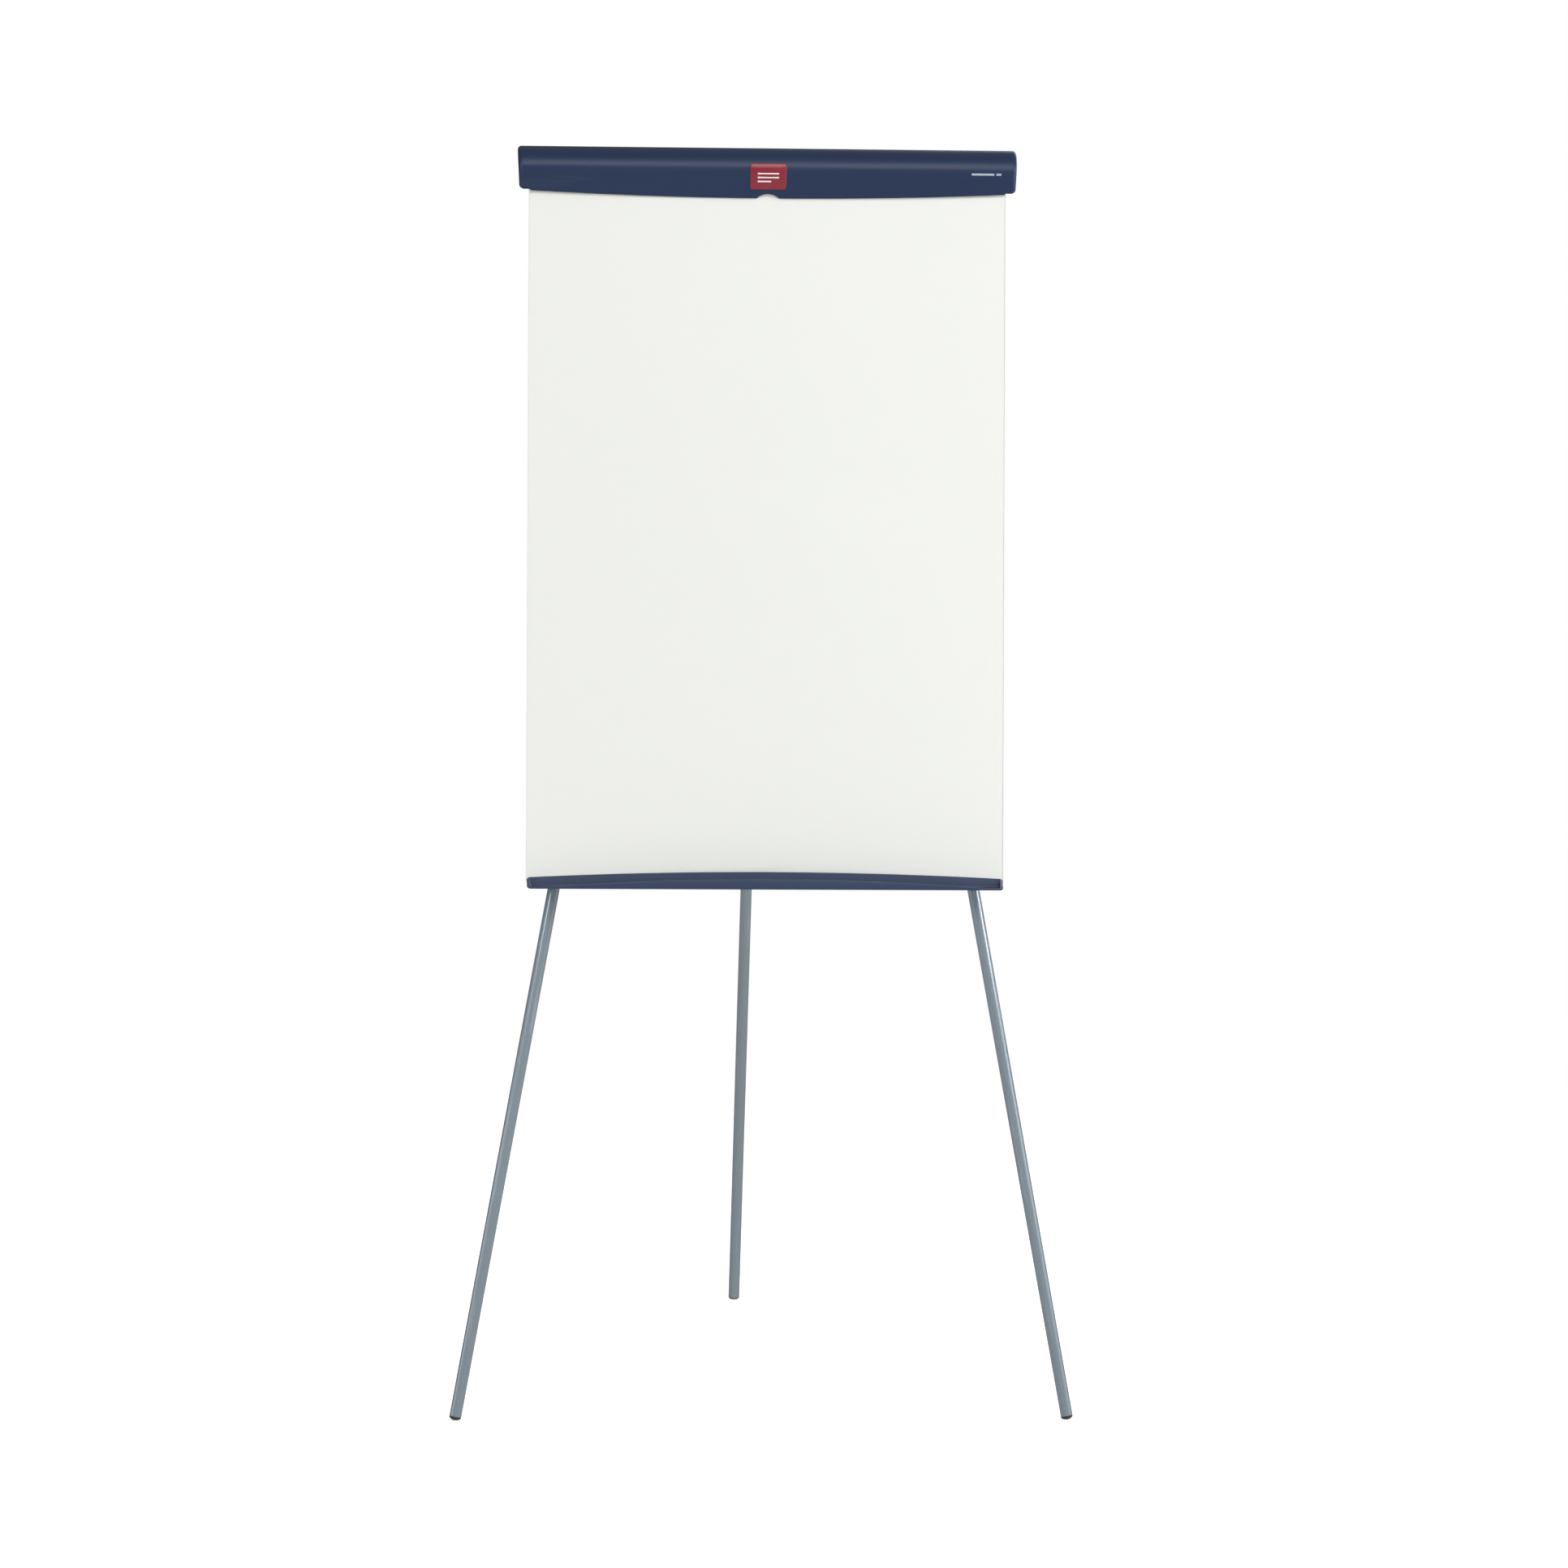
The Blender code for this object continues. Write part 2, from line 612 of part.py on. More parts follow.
# ---------------------------------------------------------------- leg fittings on the board
def build_head():
    """Pressed plate on the board's back, with the front legs' bolts and bushes."""
    front = BACK_FACE + FIT
    seat = front + PLATE_THICK
    middle = front + PLATE_THICK / 2
    left, right, low, high = -PLATE_HALF, PLATE_HALF, PLATE_BOTTOM, PLATE_TOP
    outline = rounded_rectangle(left, low, right, high, 0.012, 3)
    plate = prism("head_plate", outline, plate_paint, board, "Y", PLATE_THICK / 2, (0, middle, 0))
    spots = [(x, z) for z in (low + 0.012, high - 0.012) for x in (-0.092, 0.092)]
    for i, (x, z) in enumerate(spots, 1):
        combine(plate, board_screw(f"head_screw_{i}", x, z, seat), "DIFFERENCE")
    for name, side in (("left", -1), ("right", 1)):
        where = (side * PIVOT_X, 0, PIVOT_Z)
        bush = ring_profile(BOLT_HOLE, 0.0070, seat + FIT, -UPPER_RADIUS - FIT)
        lying = (-pi / 2, 0, 0)
        turned(f"leg_pivot_bush_{name}", bush, black_plastic, board, True, 20, where, lying)
        head = UPPER_RADIUS + FIT
        bolt = [(0, head + 0.0046), (0.0050, head + 0.0046), (0.0064, head + 0.0030), (0.0064, head)]
        bolt += [(BOLT_RADIUS, head), (BOLT_RADIUS, seat + FIT), (0, seat + FIT)]
        turned(f"leg_pivot_bolt_{name}", bolt, zinc_steel, board, False, 18, where, lying)


def build_rear_clevis():
    """U-shaped bracket on the head plate, with the rear leg's bolt, nut and open stop."""
    web = BACK_FACE + FIT + PLATE_THICK + FIT
    inner, thick = 0.0125, 0.0020
    low, high, back = PIVOT_Z - 0.020, PIVOT_Z + 0.024, REAR_PIVOT_Y + 0.014
    nose = REAR_PIVOT_Y
    ear = [(web, low), (nose, PIVOT_Z - 0.014)]
    ear += arc((nose, PIVOT_Z), 0.014, -90, 60, 8)
    ear += [(nose - 0.010, high), (web, high)]
    clevis = prism("rear_clevis", ear, plate_paint, board, "X", inner + thick)
    gap = box_mesh("clevis_gap", (-inner, web + thick, low - 0.01), (inner, back + 0.01, high + 0.01))
    combine(clevis, cutter("clevis_gap", gap, board), "DIFFERENCE")
    stop = box_mesh("clevis_stop", (-inner - 0.001, 0.0112, PIVOT_Z + 0.0075), (inner + 0.001, 0.0134, high))
    combine(clevis, cutter("clevis_stop", stop, board), "UNION")
    bore = cylinder_mesh("clevis_bore", BOLT_HOLE, -0.03, 0.03, "X", 16)
    combine(clevis, cutter("clevis_bore", bore, board, (0, REAR_PIVOT_Y, PIVOT_Z)), "DIFFERENCE")

    where = (0, REAR_PIVOT_Y, PIVOT_Z)
    across = (0, pi / 2, 0)
    face = inner + thick + FIT
    bolt = [(0, face + 0.0046), (0.0050, face + 0.0046), (0.0064, face + 0.0030), (0.0064, face)]
    bolt += [(BOLT_RADIUS, face), (BOLT_RADIUS, -face - 0.007), (0, -face - 0.007)]
    turned("rear_pivot_bolt", bolt, zinc_steel, board, False, 18, where, across)
    nut_half = 0.0025
    spot = (-face - nut_half, REAR_PIVOT_Y, PIVOT_Z)
    hexagon, thread = circle((0, 0), 0.0062, 6), circle((0, 0), BOLT_HOLE)
    prism("rear_pivot_nut", hexagon, zinc_steel, board, "X", nut_half, spot, [thread])


def build_leg_clip(name, side):
    """Open clip on the board's back: the front leg rests in it and leaves it towards the middle."""
    base = BACK_FACE + FIT
    slope = (FRONT_FOOT_X - PIVOT_X) / PIVOT_Z
    leg_x = PIVOT_X + slope * (PIVOT_Z - CLIP_Z)
    frame = empty(f"leg_clip_{name}_frame", board, (side * leg_x, 0, CLIP_Z), (0, -side * atan2(slope, 1), 0))
    hold = UPPER_RADIUS + FIT
    wall = 0.0030
    jaw = -0.010
    seat = (0.0, 0.0)
    outline = [(jaw, -hold)] + arc(seat, hold, 270, 450, 10) + [(jaw, hold), (jaw, hold + wall)]
    outline += arc(seat, hold + wall, 90, 0, 6)
    outline += [(hold + wall, base + 0.0035), (0.030, base + 0.0035), (0.030, base), (jaw, base)]
    points = [(side * x, y) for x, y in outline]
    mesh = prism(f"leg_clip_{name}", points, black_plastic, frame, "Y", CLIP_HALF)
    for vertex in mesh.data.vertices:
        x, y, z = vertex.co
        vertex.co = (x, z, -y)
    hole_x = side * (leg_x + 0.0225)
    seat_y = base + 0.0035
    combine(mesh, board_screw(f"clip_screw_{name}", hole_x, CLIP_Z - 0.004, seat_y), "DIFFERENCE")


# ---------------------------------------------------------------- the legs
def build_leg(name, frame, length, hinge_axis):
    """One telescopic leg, in its pivot's frame, pointing down -Z; its knob faces +Y."""
    upper = turned(
        f"upper_tube_{name}",
        ring_profile(UPPER_BORE, UPPER_RADIUS, -UPPER_LENGTH, UPPER_TOP),
        leg_paint,
        frame,
        True,
    )
    pivot = cylinder_mesh(f"pivot_hole_{name}", BOLT_HOLE, -0.02, 0.02, hinge_axis, 16)
    combine(upper, cutter(f"pivot_hole_{name}", pivot, frame), "DIFFERENCE")
    window = cylinder_mesh(f"knob_window_{name}", 0.0030, 0.0, 0.02, "Y", 12)
    combine(upper, cutter(f"knob_window_{name}", window, frame, (0, 0, KNOB_Z)), "DIFFERENCE")

    cap_top = UPPER_TOP + FIT
    cap = [(0, cap_top + 0.0035), (0.0060, cap_top + 0.0032), (0.0088, cap_top + 0.0020)]
    cap += [(UPPER_RADIUS, cap_top + 0.0008), (UPPER_RADIUS, cap_top), (UPPER_BORE - FIT, cap_top)]
    cap += [(UPPER_BORE - FIT, cap_top - 0.008), (0, cap_top - 0.008)]
    turned(f"tube_cap_{name}", cap, black_plastic, frame)

    step = -UPPER_LENGTH - FIT
    body = [
        (UPPER_RADIUS + FIT, COLLAR_TOP),
        (COLLAR_RADIUS - 0.002, COLLAR_TOP),
        (COLLAR_RADIUS, COLLAR_TOP - 0.003),
        (COLLAR_RADIUS, COLLAR_BOTTOM + 0.004),
        (COLLAR_RADIUS - 0.003, COLLAR_BOTTOM),
        (LOWER_RADIUS + FIT, COLLAR_BOTTOM),
        (LOWER_RADIUS + FIT, step),
        (UPPER_RADIUS + FIT, step),
    ]
    collar = turned(f"lock_collar_{name}", body, black_plastic, frame, True)
    boss = cylinder_mesh(f"collar_boss_{name}", 0.0075, UPPER_RADIUS + 0.002, 0.0190, "Y", 18)
    combine(collar, cutter(f"collar_boss_{name}", boss, frame, (0, 0, KNOB_Z)), "UNION")
    bore = cylinder_mesh(f"collar_bore_{name}", 0.0028, 0.0, 0.03, "Y", 14)
    combine(collar, cutter(f"collar_bore_{name}", bore, frame, (0, 0, KNOB_Z)), "DIFFERENCE")
    build_knob(name, frame)

    tube_end = -length + FOOT_CAP
    tube = ring_profile(LOWER_BORE, LOWER_RADIUS, tube_end, LOWER_TOP)
    turned(f"lower_tube_{name}", tube, leg_paint, frame, True)
    bush_top = LOWER_TOP + FIT
    bush = [(0, bush_top + 0.012), (0.0080, bush_top + 0.012), (UPPER_BORE - 0.0002, bush_top + 0.010)]
    bush += [(UPPER_BORE - 0.0002, bush_top), (LOWER_BORE - FIT, bush_top)]
    bush += [(LOWER_BORE - FIT, bush_top - 0.012), (0, bush_top - 0.012)]
    turned(f"slide_bush_{name}", bush, black_plastic, frame)
    build_foot(name, frame, length)


def build_knob(name, frame):
    """Lobed thumb knob on its screw, turning about +Y."""
    turning = empty(f"lock_knob_{name}_axis", frame, (0, 0, KNOB_Z))
    lobes, steps = 5, 40
    rim = []
    for i in range(steps):
        angle = 2 * pi * i / steps
        radius = 0.0115 + 0.0013 * cos(lobes * angle)
        rim.append((radius * cos(angle), radius * sin(angle)))
    front, back = 0.0193, 0.0290
    middle, half = (front + back) / 2, (back - front) / 2
    knob = prism(f"lock_knob_{name}", rim, black_plastic, turning, "Y", half)
    for vertex in knob.data.vertices:
        vertex.co.y += middle
    stem = cylinder_mesh(f"knob_stem_{name}", 0.0025, LOWER_RADIUS + 0.0004, front + 0.001, "Y", 14)
    combine(knob, cutter(f"knob_stem_{name}", stem, turning), "UNION")


def build_foot(name, frame, length):
    """Rubber plug in the tube's end: a stem, a rim and a domed foot, worn flat where it stands."""
    top = -length + FOOT_CAP - FIT
    tip = -length - FOOT_SINK
    centre = tip + FOOT_SPHERE
    rim = tip + FOOT_DOME
    profile = [(0, top + 0.018), (LOWER_BORE - FIT - 0.001, top + 0.018), (LOWER_BORE - FIT, top + 0.016)]
    profile += [(LOWER_BORE - FIT, top), (LOWER_RADIUS, top), (LOWER_RADIUS, rim)]
    edge_angle = asin(LOWER_RADIUS / FOOT_SPHERE)
    for i in range(1, 8):
        angle = edge_angle * (1 - i / 8)
        profile.append((FOOT_SPHERE * sin(angle), centre - FOOT_SPHERE * cos(angle)))
    profile.append((0, tip))
    foot = turned(f"foot_plug_{name}", profile, foot_rubber, frame)
    combine(foot, floor_cut, "DIFFERENCE")


# ---------------------------------------------------------------- assembly
board = empty("board_frame", None, (0, FRONT_FOOT_Y, 0), (-LEAN, 0, 0))
clamp = empty("clamp_frame", board, (0, 0, CLAMP_TOP))
floor_cut = cutter("floor_cut", box_mesh("floor_cut", (-1, -1, -0.05), (1, 1, 0)), None)

build_top_rail()
build_pen_tray()
build_clamp()
build_badge()
build_hinge()
build_head()
build_rear_clevis()
for label, side_sign in (("left", -1), ("right", 1)):
    build_pad_hook(label, side_sign)
    build_leg_clip(label, side_sign)
build_board_panel()

front_splay = atan2(FRONT_FOOT_X - PIVOT_X, PIVOT_Z)
front_length = hypot(FRONT_FOOT_X - PIVOT_X, PIVOT_Z)
for label, side_sign in (("left", -1), ("right", 1)):
    pivot_frame = empty(
        f"leg_{label}_pivot", board, (side_sign * PIVOT_X, 0, PIVOT_Z), (0, -side_sign * front_splay, 0)
    )
    build_leg(label, pivot_frame, front_length, "Y")

rear_pivot_y = FRONT_FOOT_Y + REAR_PIVOT_Y * cos(LEAN) + PIVOT_Z * sin(LEAN)
rear_pivot_z = PIVOT_Z * cos(LEAN) - REAR_PIVOT_Y * sin(LEAN)
rear_run = FRONT_FOOT_Y + FOOT_SPREAD_Y - rear_pivot_y
rear_frame = empty("leg_rear_pivot", None, (0, rear_pivot_y, rear_pivot_z), (atan2(rear_run, rear_pivot_z), 0, 0))
build_leg("rear", rear_frame, hypot(rear_run, rear_pivot_z), "X")
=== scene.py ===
"""Looks of the tripod flipchart easel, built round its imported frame.

Each piece's place and outer size are read from the frame: the board's own axes come from the leg
joints, each leg's axes from its fold, slide and knob joints, and each extent from its CAD node.
Pieces on the board are made in the board's frame (X right, Y towards the back, Z up along the
board), and pieces on a leg in that leg's frame (Z up the leg, Y the way its knob faces).
"""

import json
from math import atan2, cos, pi, radians, sin, sqrt, tan

import bmesh
import bpy
from mathutils import Matrix, Vector

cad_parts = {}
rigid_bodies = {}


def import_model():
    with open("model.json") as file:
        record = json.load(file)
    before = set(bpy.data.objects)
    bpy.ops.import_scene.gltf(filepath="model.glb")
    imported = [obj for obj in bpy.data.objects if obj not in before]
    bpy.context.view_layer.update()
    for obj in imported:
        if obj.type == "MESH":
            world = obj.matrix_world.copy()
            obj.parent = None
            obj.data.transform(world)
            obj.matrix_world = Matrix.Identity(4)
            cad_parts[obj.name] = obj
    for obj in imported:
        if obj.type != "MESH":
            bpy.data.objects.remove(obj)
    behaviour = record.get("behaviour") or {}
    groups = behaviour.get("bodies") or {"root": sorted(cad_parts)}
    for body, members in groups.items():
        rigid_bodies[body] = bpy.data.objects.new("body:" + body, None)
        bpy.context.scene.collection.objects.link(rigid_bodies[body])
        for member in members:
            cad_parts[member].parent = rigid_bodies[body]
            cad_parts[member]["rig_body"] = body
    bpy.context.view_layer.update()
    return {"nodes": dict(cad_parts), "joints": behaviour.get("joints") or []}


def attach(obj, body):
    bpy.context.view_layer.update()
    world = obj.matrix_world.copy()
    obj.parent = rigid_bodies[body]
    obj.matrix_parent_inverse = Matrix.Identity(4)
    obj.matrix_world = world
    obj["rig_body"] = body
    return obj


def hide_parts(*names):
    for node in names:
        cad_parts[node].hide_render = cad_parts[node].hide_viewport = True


for old in list(bpy.data.objects):
    bpy.data.objects.remove(old)
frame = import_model()
scene = bpy.context.scene
SIDES = {"left": -1, "right": 1}
LEGS = ("left", "right", "rear")
FIT = 0.0003  # the gap that the CAD leaves round a piece that fits another one
SHARP = radians(38)  # edges that turn more than this stay crisp, or get a bevel
MM = 0.001
WHITE = (1.0, 1.0, 1.0, 1.0)

# ---- camera
CAMERA_PLACE = Vector((-0.4232, -8.4453, 1.7790))
CAMERA_TURN = radians(-3.179)  # about +Z, so that it looks a little to the right
CAMERA_PITCH = radians(6.219)  # downwards
CAMERA_ROLL = radians(0.612)
CAMERA_LENS = 132.53
SENSOR_WIDTH = 36.0
VIEW_LIMIT = 200.0


def build_camera():
    data = bpy.data.cameras.new("camera")
    data.lens = CAMERA_LENS
    data.sensor_width = SENSOR_WIDTH
    data.clip_end = VIEW_LIMIT
    camera = bpy.data.objects.new("camera", data)
    scene.collection.objects.link(camera)
    turned = Matrix.Rotation(CAMERA_TURN, 4, "Z")
    pitched = Matrix.Rotation(pi / 2 - CAMERA_PITCH, 4, "X")
    rolled = Matrix.Rotation(CAMERA_ROLL, 4, "Z")
    camera.matrix_world = Matrix.Translation(CAMERA_PLACE) @ turned @ pitched @ rolled
    scene.camera = camera


build_camera()

# ---- frames read from the CAD
JOINTS = {joint["name"]: joint for joint in frame["joints"]}


def axes_frame(origin, back, up):
    """The frame at origin with Y along back, Z along up and X to the right."""
    y, z = Vector(back).normalized(), Vector(up).normalized()
    made = Matrix((y.cross(z), y, z)).transposed().to_4x4()
    made.translation = origin
    return made


def board_axes():
    """The board's frame, on the floor, in the plane of the front legs' centre lines."""
    pivot = Vector(JOINTS["right_leg_fold"]["pos_m"])
    back = Vector(JOINTS["right_leg_fold"]["axis"])
    up = Vector((0, -back.z, back.y))
    origin = pivot - up * (pivot.z / up.z)
    origin.x = 0
    return axes_frame(origin, back, up)


BOARD = board_axes()
LEG = {
    name: axes_frame(
        Vector(JOINTS[f"{name}_leg_fold"]["pos_m"]),
        JOINTS[f"{name}_knob_turn"]["axis"],
        JOINTS[f"{name}_leg_slide"]["axis"],
    )
    for name in LEGS
}


def extent(node, space):
    """Lowest and highest corner of a CAD node in a frame's own axes."""
    into = space.inverted()
    points = [into @ vertex.co for vertex in frame["nodes"][node].data.vertices]
    low = Vector(min(point[i] for point in points) for i in range(3))
    high = Vector(max(point[i] for point in points) for i in range(3))
    return low, high


def centre_of(node, space):
    low, high = extent(node, space)
    return (low + high) / 2


def shift(x, y, z):
    return Matrix.Translation((x, y, z))


def facing(axis, sign):
    """A quarter turn about X or Y, which points Z along another axis."""
    return Matrix.Rotation(sign * pi / 2, 4, axis)


# ---- materials
NOISE_RANGE = (0.3, 0.7)  # where most of a noise texture's values lie
MASK_RANGE = (0.0, 1.0)
MICRON = 1e-6
# base colours at the dark and light end of a surface's drift
NAVY = ((0.0085, 0.0220, 0.0650), (0.0110, 0.0262, 0.0745))
TRAY_NAVY = ((0.0250, 0.0430, 0.0960), (0.0295, 0.0485, 0.1070))
BADGE_PRINT = ((0.66, 0.62, 0.62), (0.80, 0.77, 0.76))
BAR_PRINT = ((0.33, 0.37, 0.45), (0.42, 0.46, 0.54))


def add_node(tree, kind, inputs, **settings):
    """A node with its settings, and its inputs set or linked."""
    node = tree.nodes.new(kind)
    for name, value in settings.items():
        setattr(node, name, value)
    for socket, value in inputs.items():
        if isinstance(value, bpy.types.NodeSocket):
            tree.links.new(value, node.inputs[socket])
        else:
            node.inputs[socket].default_value = value
    return node


class Look:
    """A material with its principled shader, and short ways to add texture nodes to it."""

    def __init__(self, name, **sockets):
        self.material = bpy.data.materials.new(name)
        self.material.use_nodes = True
        self.tree = self.material.node_tree
        self.shader = self.tree.nodes["Principled BSDF"]
        self.coordinates = self.tree.nodes.new("ShaderNodeTexCoord").outputs
        for socket, value in sockets.items():
            self.shader.inputs[socket.replace("_", " ")].default_value = value

    def add(self, kind, inputs, output, **settings):
        """An output of a new node."""
        return add_node(self.tree, kind, inputs, **settings).outputs[output]

    def use(self, socket, output):
        self.tree.links.new(output, self.shader.inputs[socket])

    def noise(self, scale, detail=2.0, stretch=(1, 1, 1), distortion=0.0):
        inputs = {"Vector": self.coordinates["Object"], "Scale": stretch}
        place = self.add("ShaderNodeMapping", inputs, 0)
        inputs = {"Vector": place, "Scale": scale, "Detail": detail, "Distortion": distortion}
        return self.add("ShaderNodeTexNoise", inputs, "Fac")

    def cells(self, scale, output="Color", feature="F1"):
        inputs = {"Vector": self.coordinates["Object"], "Scale": scale}
        return self.add("ShaderNodeTexVoronoi", inputs, output, feature=feature)

    def cell_tones(self, scale):
        """A random tone for each cell."""
        return self.add("ShaderNodeSeparateColor", {"Color": self.cells(scale)}, 0)

    def height(self):
        """0 at the bottom of the piece's own box, 1 at its top."""
        inputs = {"Vector": self.coordinates["Generated"]}
        return self.add("ShaderNodeSeparateXYZ", inputs, "Z")

    def edges(self):
        """Grows towards 1 on convex edges."""
        return self.add("ShaderNodeNewGeometry", {}, "Pointiness")

    def span(self, value, start, end, low=0.0, high=1.0):
        """Value from start..end mapped to low..high, smoothly, and held outside."""
        inputs = {"Value": value, "From Min": start, "From Max": end, "To Min": low, "To Max": high}
        return self.add("ShaderNodeMapRange", inputs, "Result", interpolation_type="SMOOTHSTEP")

    def maths(self, operation, one, two):
        return self.add("ShaderNodeMath", {0: one, 1: two}, 0, operation=operation)

    def blend(self, share, one, two):
        """Colour one where share is 0, two where it is 1."""
        one, two = ((*c, 1.0) if isinstance(c, tuple) else c for c in (one, two))
        return self.add("ShaderNodeMix", {"Factor": share, 6: one, 7: two}, 2, data_type="RGBA")

    def paint(self, share, dark, light, *layers):
        """Base colour between two tones, under (mask, strength, colour) layers."""
        colour = self.blend(share, dark, light)
        for mask, strength, over in layers:
            colour = self.blend(self.maths("MULTIPLY", mask, strength), colour, over)
        self.use("Base Color", colour)

    def rough(self, value, low, high, among=NOISE_RANGE, marks=None, change=0.0):
        """Roughness from low to high along a value, raised or lowered where there are marks."""
        result = self.span(value, *among, low, high)
        if marks is not None:
            result = self.maths("ADD", result, self.maths("MULTIPLY", marks, change))
        self.use("Roughness", result)

    def bump(self, *layers):
        """Bumps from (height, depth in micrometres) pairs, one on top of the other."""
        below = {}
        for relief, depth in layers:
            inputs = {"Height": relief, "Distance": depth * MICRON, "Strength": 1.0, **below}
            below = {"Normal": self.add("ShaderNodeBump", inputs, "Normal")}
        self.use("Normal", below["Normal"])


def navy_plastic(name="navy_plastic", tones=NAVY):
    """Moulded ABS: fine spark-eroded grain, faint flow clouds, light rubbing marks along X."""
    look = Look(name, Specular_IOR_Level=0.38)
    clouds = look.noise(7.0, 3.0, (0.5, 1, 1))
    rubbed = look.span(look.noise(38.0, 5.0, (0.10, 1, 1), 0.6), 0.60, 0.74)
    look.paint(clouds, *tones, (rubbed, 0.22, (0.050, 0.072, 0.125)))
    look.rough(clouds, 0.38, 0.42, marks=rubbed, change=-0.08)
    look.bump((look.noise(1900.0), 12), (look.noise(160.0), 12))
    return look.material


def red_badge():
    """Glossy moulded inlay with a little tint variation and fine hairlines."""
    look = Look("red_badge", Specular_IOR_Level=0.4, Coat_Weight=0.06, Coat_Roughness=0.2)
    hair = look.span(look.noise(420.0, 3.0, (0.08, 1, 1)), 0.62, 0.75)
    tones = (0.212, 0.016, 0.031), (0.256, 0.022, 0.039)
    look.paint(look.noise(60.0), *tones, (hair, 0.3, (0.45, 0.10, 0.12)))
    look.rough(hair, 0.28, 0.42, MASK_RANGE)
    look.bump((look.noise(1400.0), 8))
    return look.material


def printed(name, tones):
    """Thin pale print, a little speckled where the ink is thin."""
    look = Look(name)
    speckle = look.noise(900.0, 3.0)
    look.paint(speckle, *tones)
    look.rough(speckle, 0.38, 0.52)
    look.bump((speckle, 10))
    return look.material


def melamine():
    """Dry-wipe surface: satin white, with almost vanished wipe smears and a soft orange peel."""
    look = Look("melamine", Specular_IOR_Level=0.5)
    smear = look.span(look.noise(5.0, 5.0, (0.35, 1, 1.6), 1.2), 0.52, 0.78)
    specks = look.span(look.noise(700.0, 1.0), 0.76, 0.80)
    tones = (0.760, 0.772, 0.738), (0.780, 0.788, 0.754)
    over = (smear, 0.16, (0.717, 0.727, 0.712)), (specks, 0.12, (0.55, 0.56, 0.56))
    look.paint(look.noise(2.2), *tones, *over)
    look.rough(smear, 0.30, 0.42, MASK_RANGE)
    look.bump((look.noise(420.0, 1.0), 6), (look.noise(26.0, 1.0), 20))
    return look.material


def backing_paper():
    """Matt balancing sheet: off-white, mottled, with short fibres."""
    look = Look("backing_paper", Specular_IOR_Level=0.3)
    mottle = look.noise(14.0, 4.0)
    fibres = look.span(look.noise(260.0, 4.0, (0.22, 1, 1), 1.5), 0.60, 0.72)
    tones = (0.60, 0.61, 0.59), (0.68, 0.685, 0.66)
    look.paint(mottle, *tones, (fibres, 0.3, (0.47, 0.46, 0.43)))
    look.rough(mottle, 0.62, 0.74)
    look.bump((look.noise(900.0, 3.0), 25), (fibres, 10))
    return look.material


def fibreboard():
    """Pressed brown fibre, seen where the sheets stop."""
    look = Look("fibreboard", Specular_IOR_Level=0.2)
    fibres = look.noise(520.0, 5.0, (0.3, 1, 1), 1.0)
    layers = look.noise(60.0, 2.0, (0.2, 4, 1))
    tones = (0.25, 0.155, 0.085), (0.50, 0.36, 0.22)
    look.paint(fibres, *tones, (layers, 0.4, (0.34, 0.22, 0.12)))
    look.rough(fibres, 0.78, 0.92)
    look.bump((fibres, 150))
    return look.material


def leg_paint():
    """Metallic lacquer: tiny flakes under a clear coat, with fine scuffs along the tube."""
    look = Look("leg_paint", Coat_Weight=0.9, Coat_Roughness=0.06, Coat_IOR=1.55)
    flakes = look.cell_tones(2600.0)
    drift = look.noise(3.5, 2.0, (1, 1, 0.6))
    scuffs = look.span(look.noise(110.0, 4.0, (1, 1, 0.05)), 0.60, 0.72)
    tones = (0.212, 0.270, 0.314), (0.238, 0.298, 0.342)
    over = (flakes, 0.60, (0.345, 0.410, 0.458)), (scuffs, 0.42, (0.40, 0.43, 0.45))
    look.paint(drift, *tones, *over)
    look.use("Metallic", look.span(flakes, *MASK_RANGE, 0.22, 0.48))
    look.rough(scuffs, 0.33, 0.50, MASK_RANGE)
    look.bump((look.noise(240.0, 1.0, (1, 1, 0.4)), 10), (scuffs, 6))
    return look.material


def zinc_steel():
    """Bright zinc plate with a faint spangle and drag marks."""
    look = Look("zinc_steel", Metallic=1.0)
    spangle = look.cell_tones(420.0)
    marks = look.span(look.noise(300.0, 4.0, (0.15, 0.15, 1)), 0.58, 0.74)
    stain = look.span(look.noise(45.0, 3.0), 0.45, 0.75)
    tones = (0.56, 0.57, 0.58), (0.70, 0.71, 0.70)
    look.paint(spangle, *tones, (stain, 0.35, (0.47, 0.44, 0.37)))
    look.rough(spangle, 0.24, 0.36, MASK_RANGE, marks, 0.14)
    look.bump((marks, 6), (spangle, 4))
    return look.material


def rail_alloy():
    """Mill-finish aluminium with die lines along X."""
    look = Look("rail_alloy", Metallic=1.0)
    lines = look.noise(900.0, 4.0, (0.006, 1, 1))
    dulled = look.noise(12.0, 3.0, (0.3, 1, 1))
    look.paint(dulled, (0.62, 0.63, 0.64), (0.75, 0.755, 0.76))
    look.rough(lines, 0.28, 0.44)
    look.bump((lines, 12))
    return look.material


def black_plastic():
    """Moulded nylon: leathery grain, paler where it is handled."""
    look = Look("black_plastic", Specular_IOR_Level=0.45)
    handled = look.span(look.edges(), 0.515, 0.60)
    clouds = look.noise(80.0, 3.0)
    tones = (0.022, 0.023, 0.025), (0.040, 0.041, 0.044)
    look.paint(clouds, *tones, (handled, 0.4, (0.10, 0.10, 0.105)))
    look.rough(clouds, 0.46, 0.58, marks=handled, change=-0.14)
    look.bump((look.cells(1300.0, "Distance", "SMOOTH_F1"), 30))
    return look.material


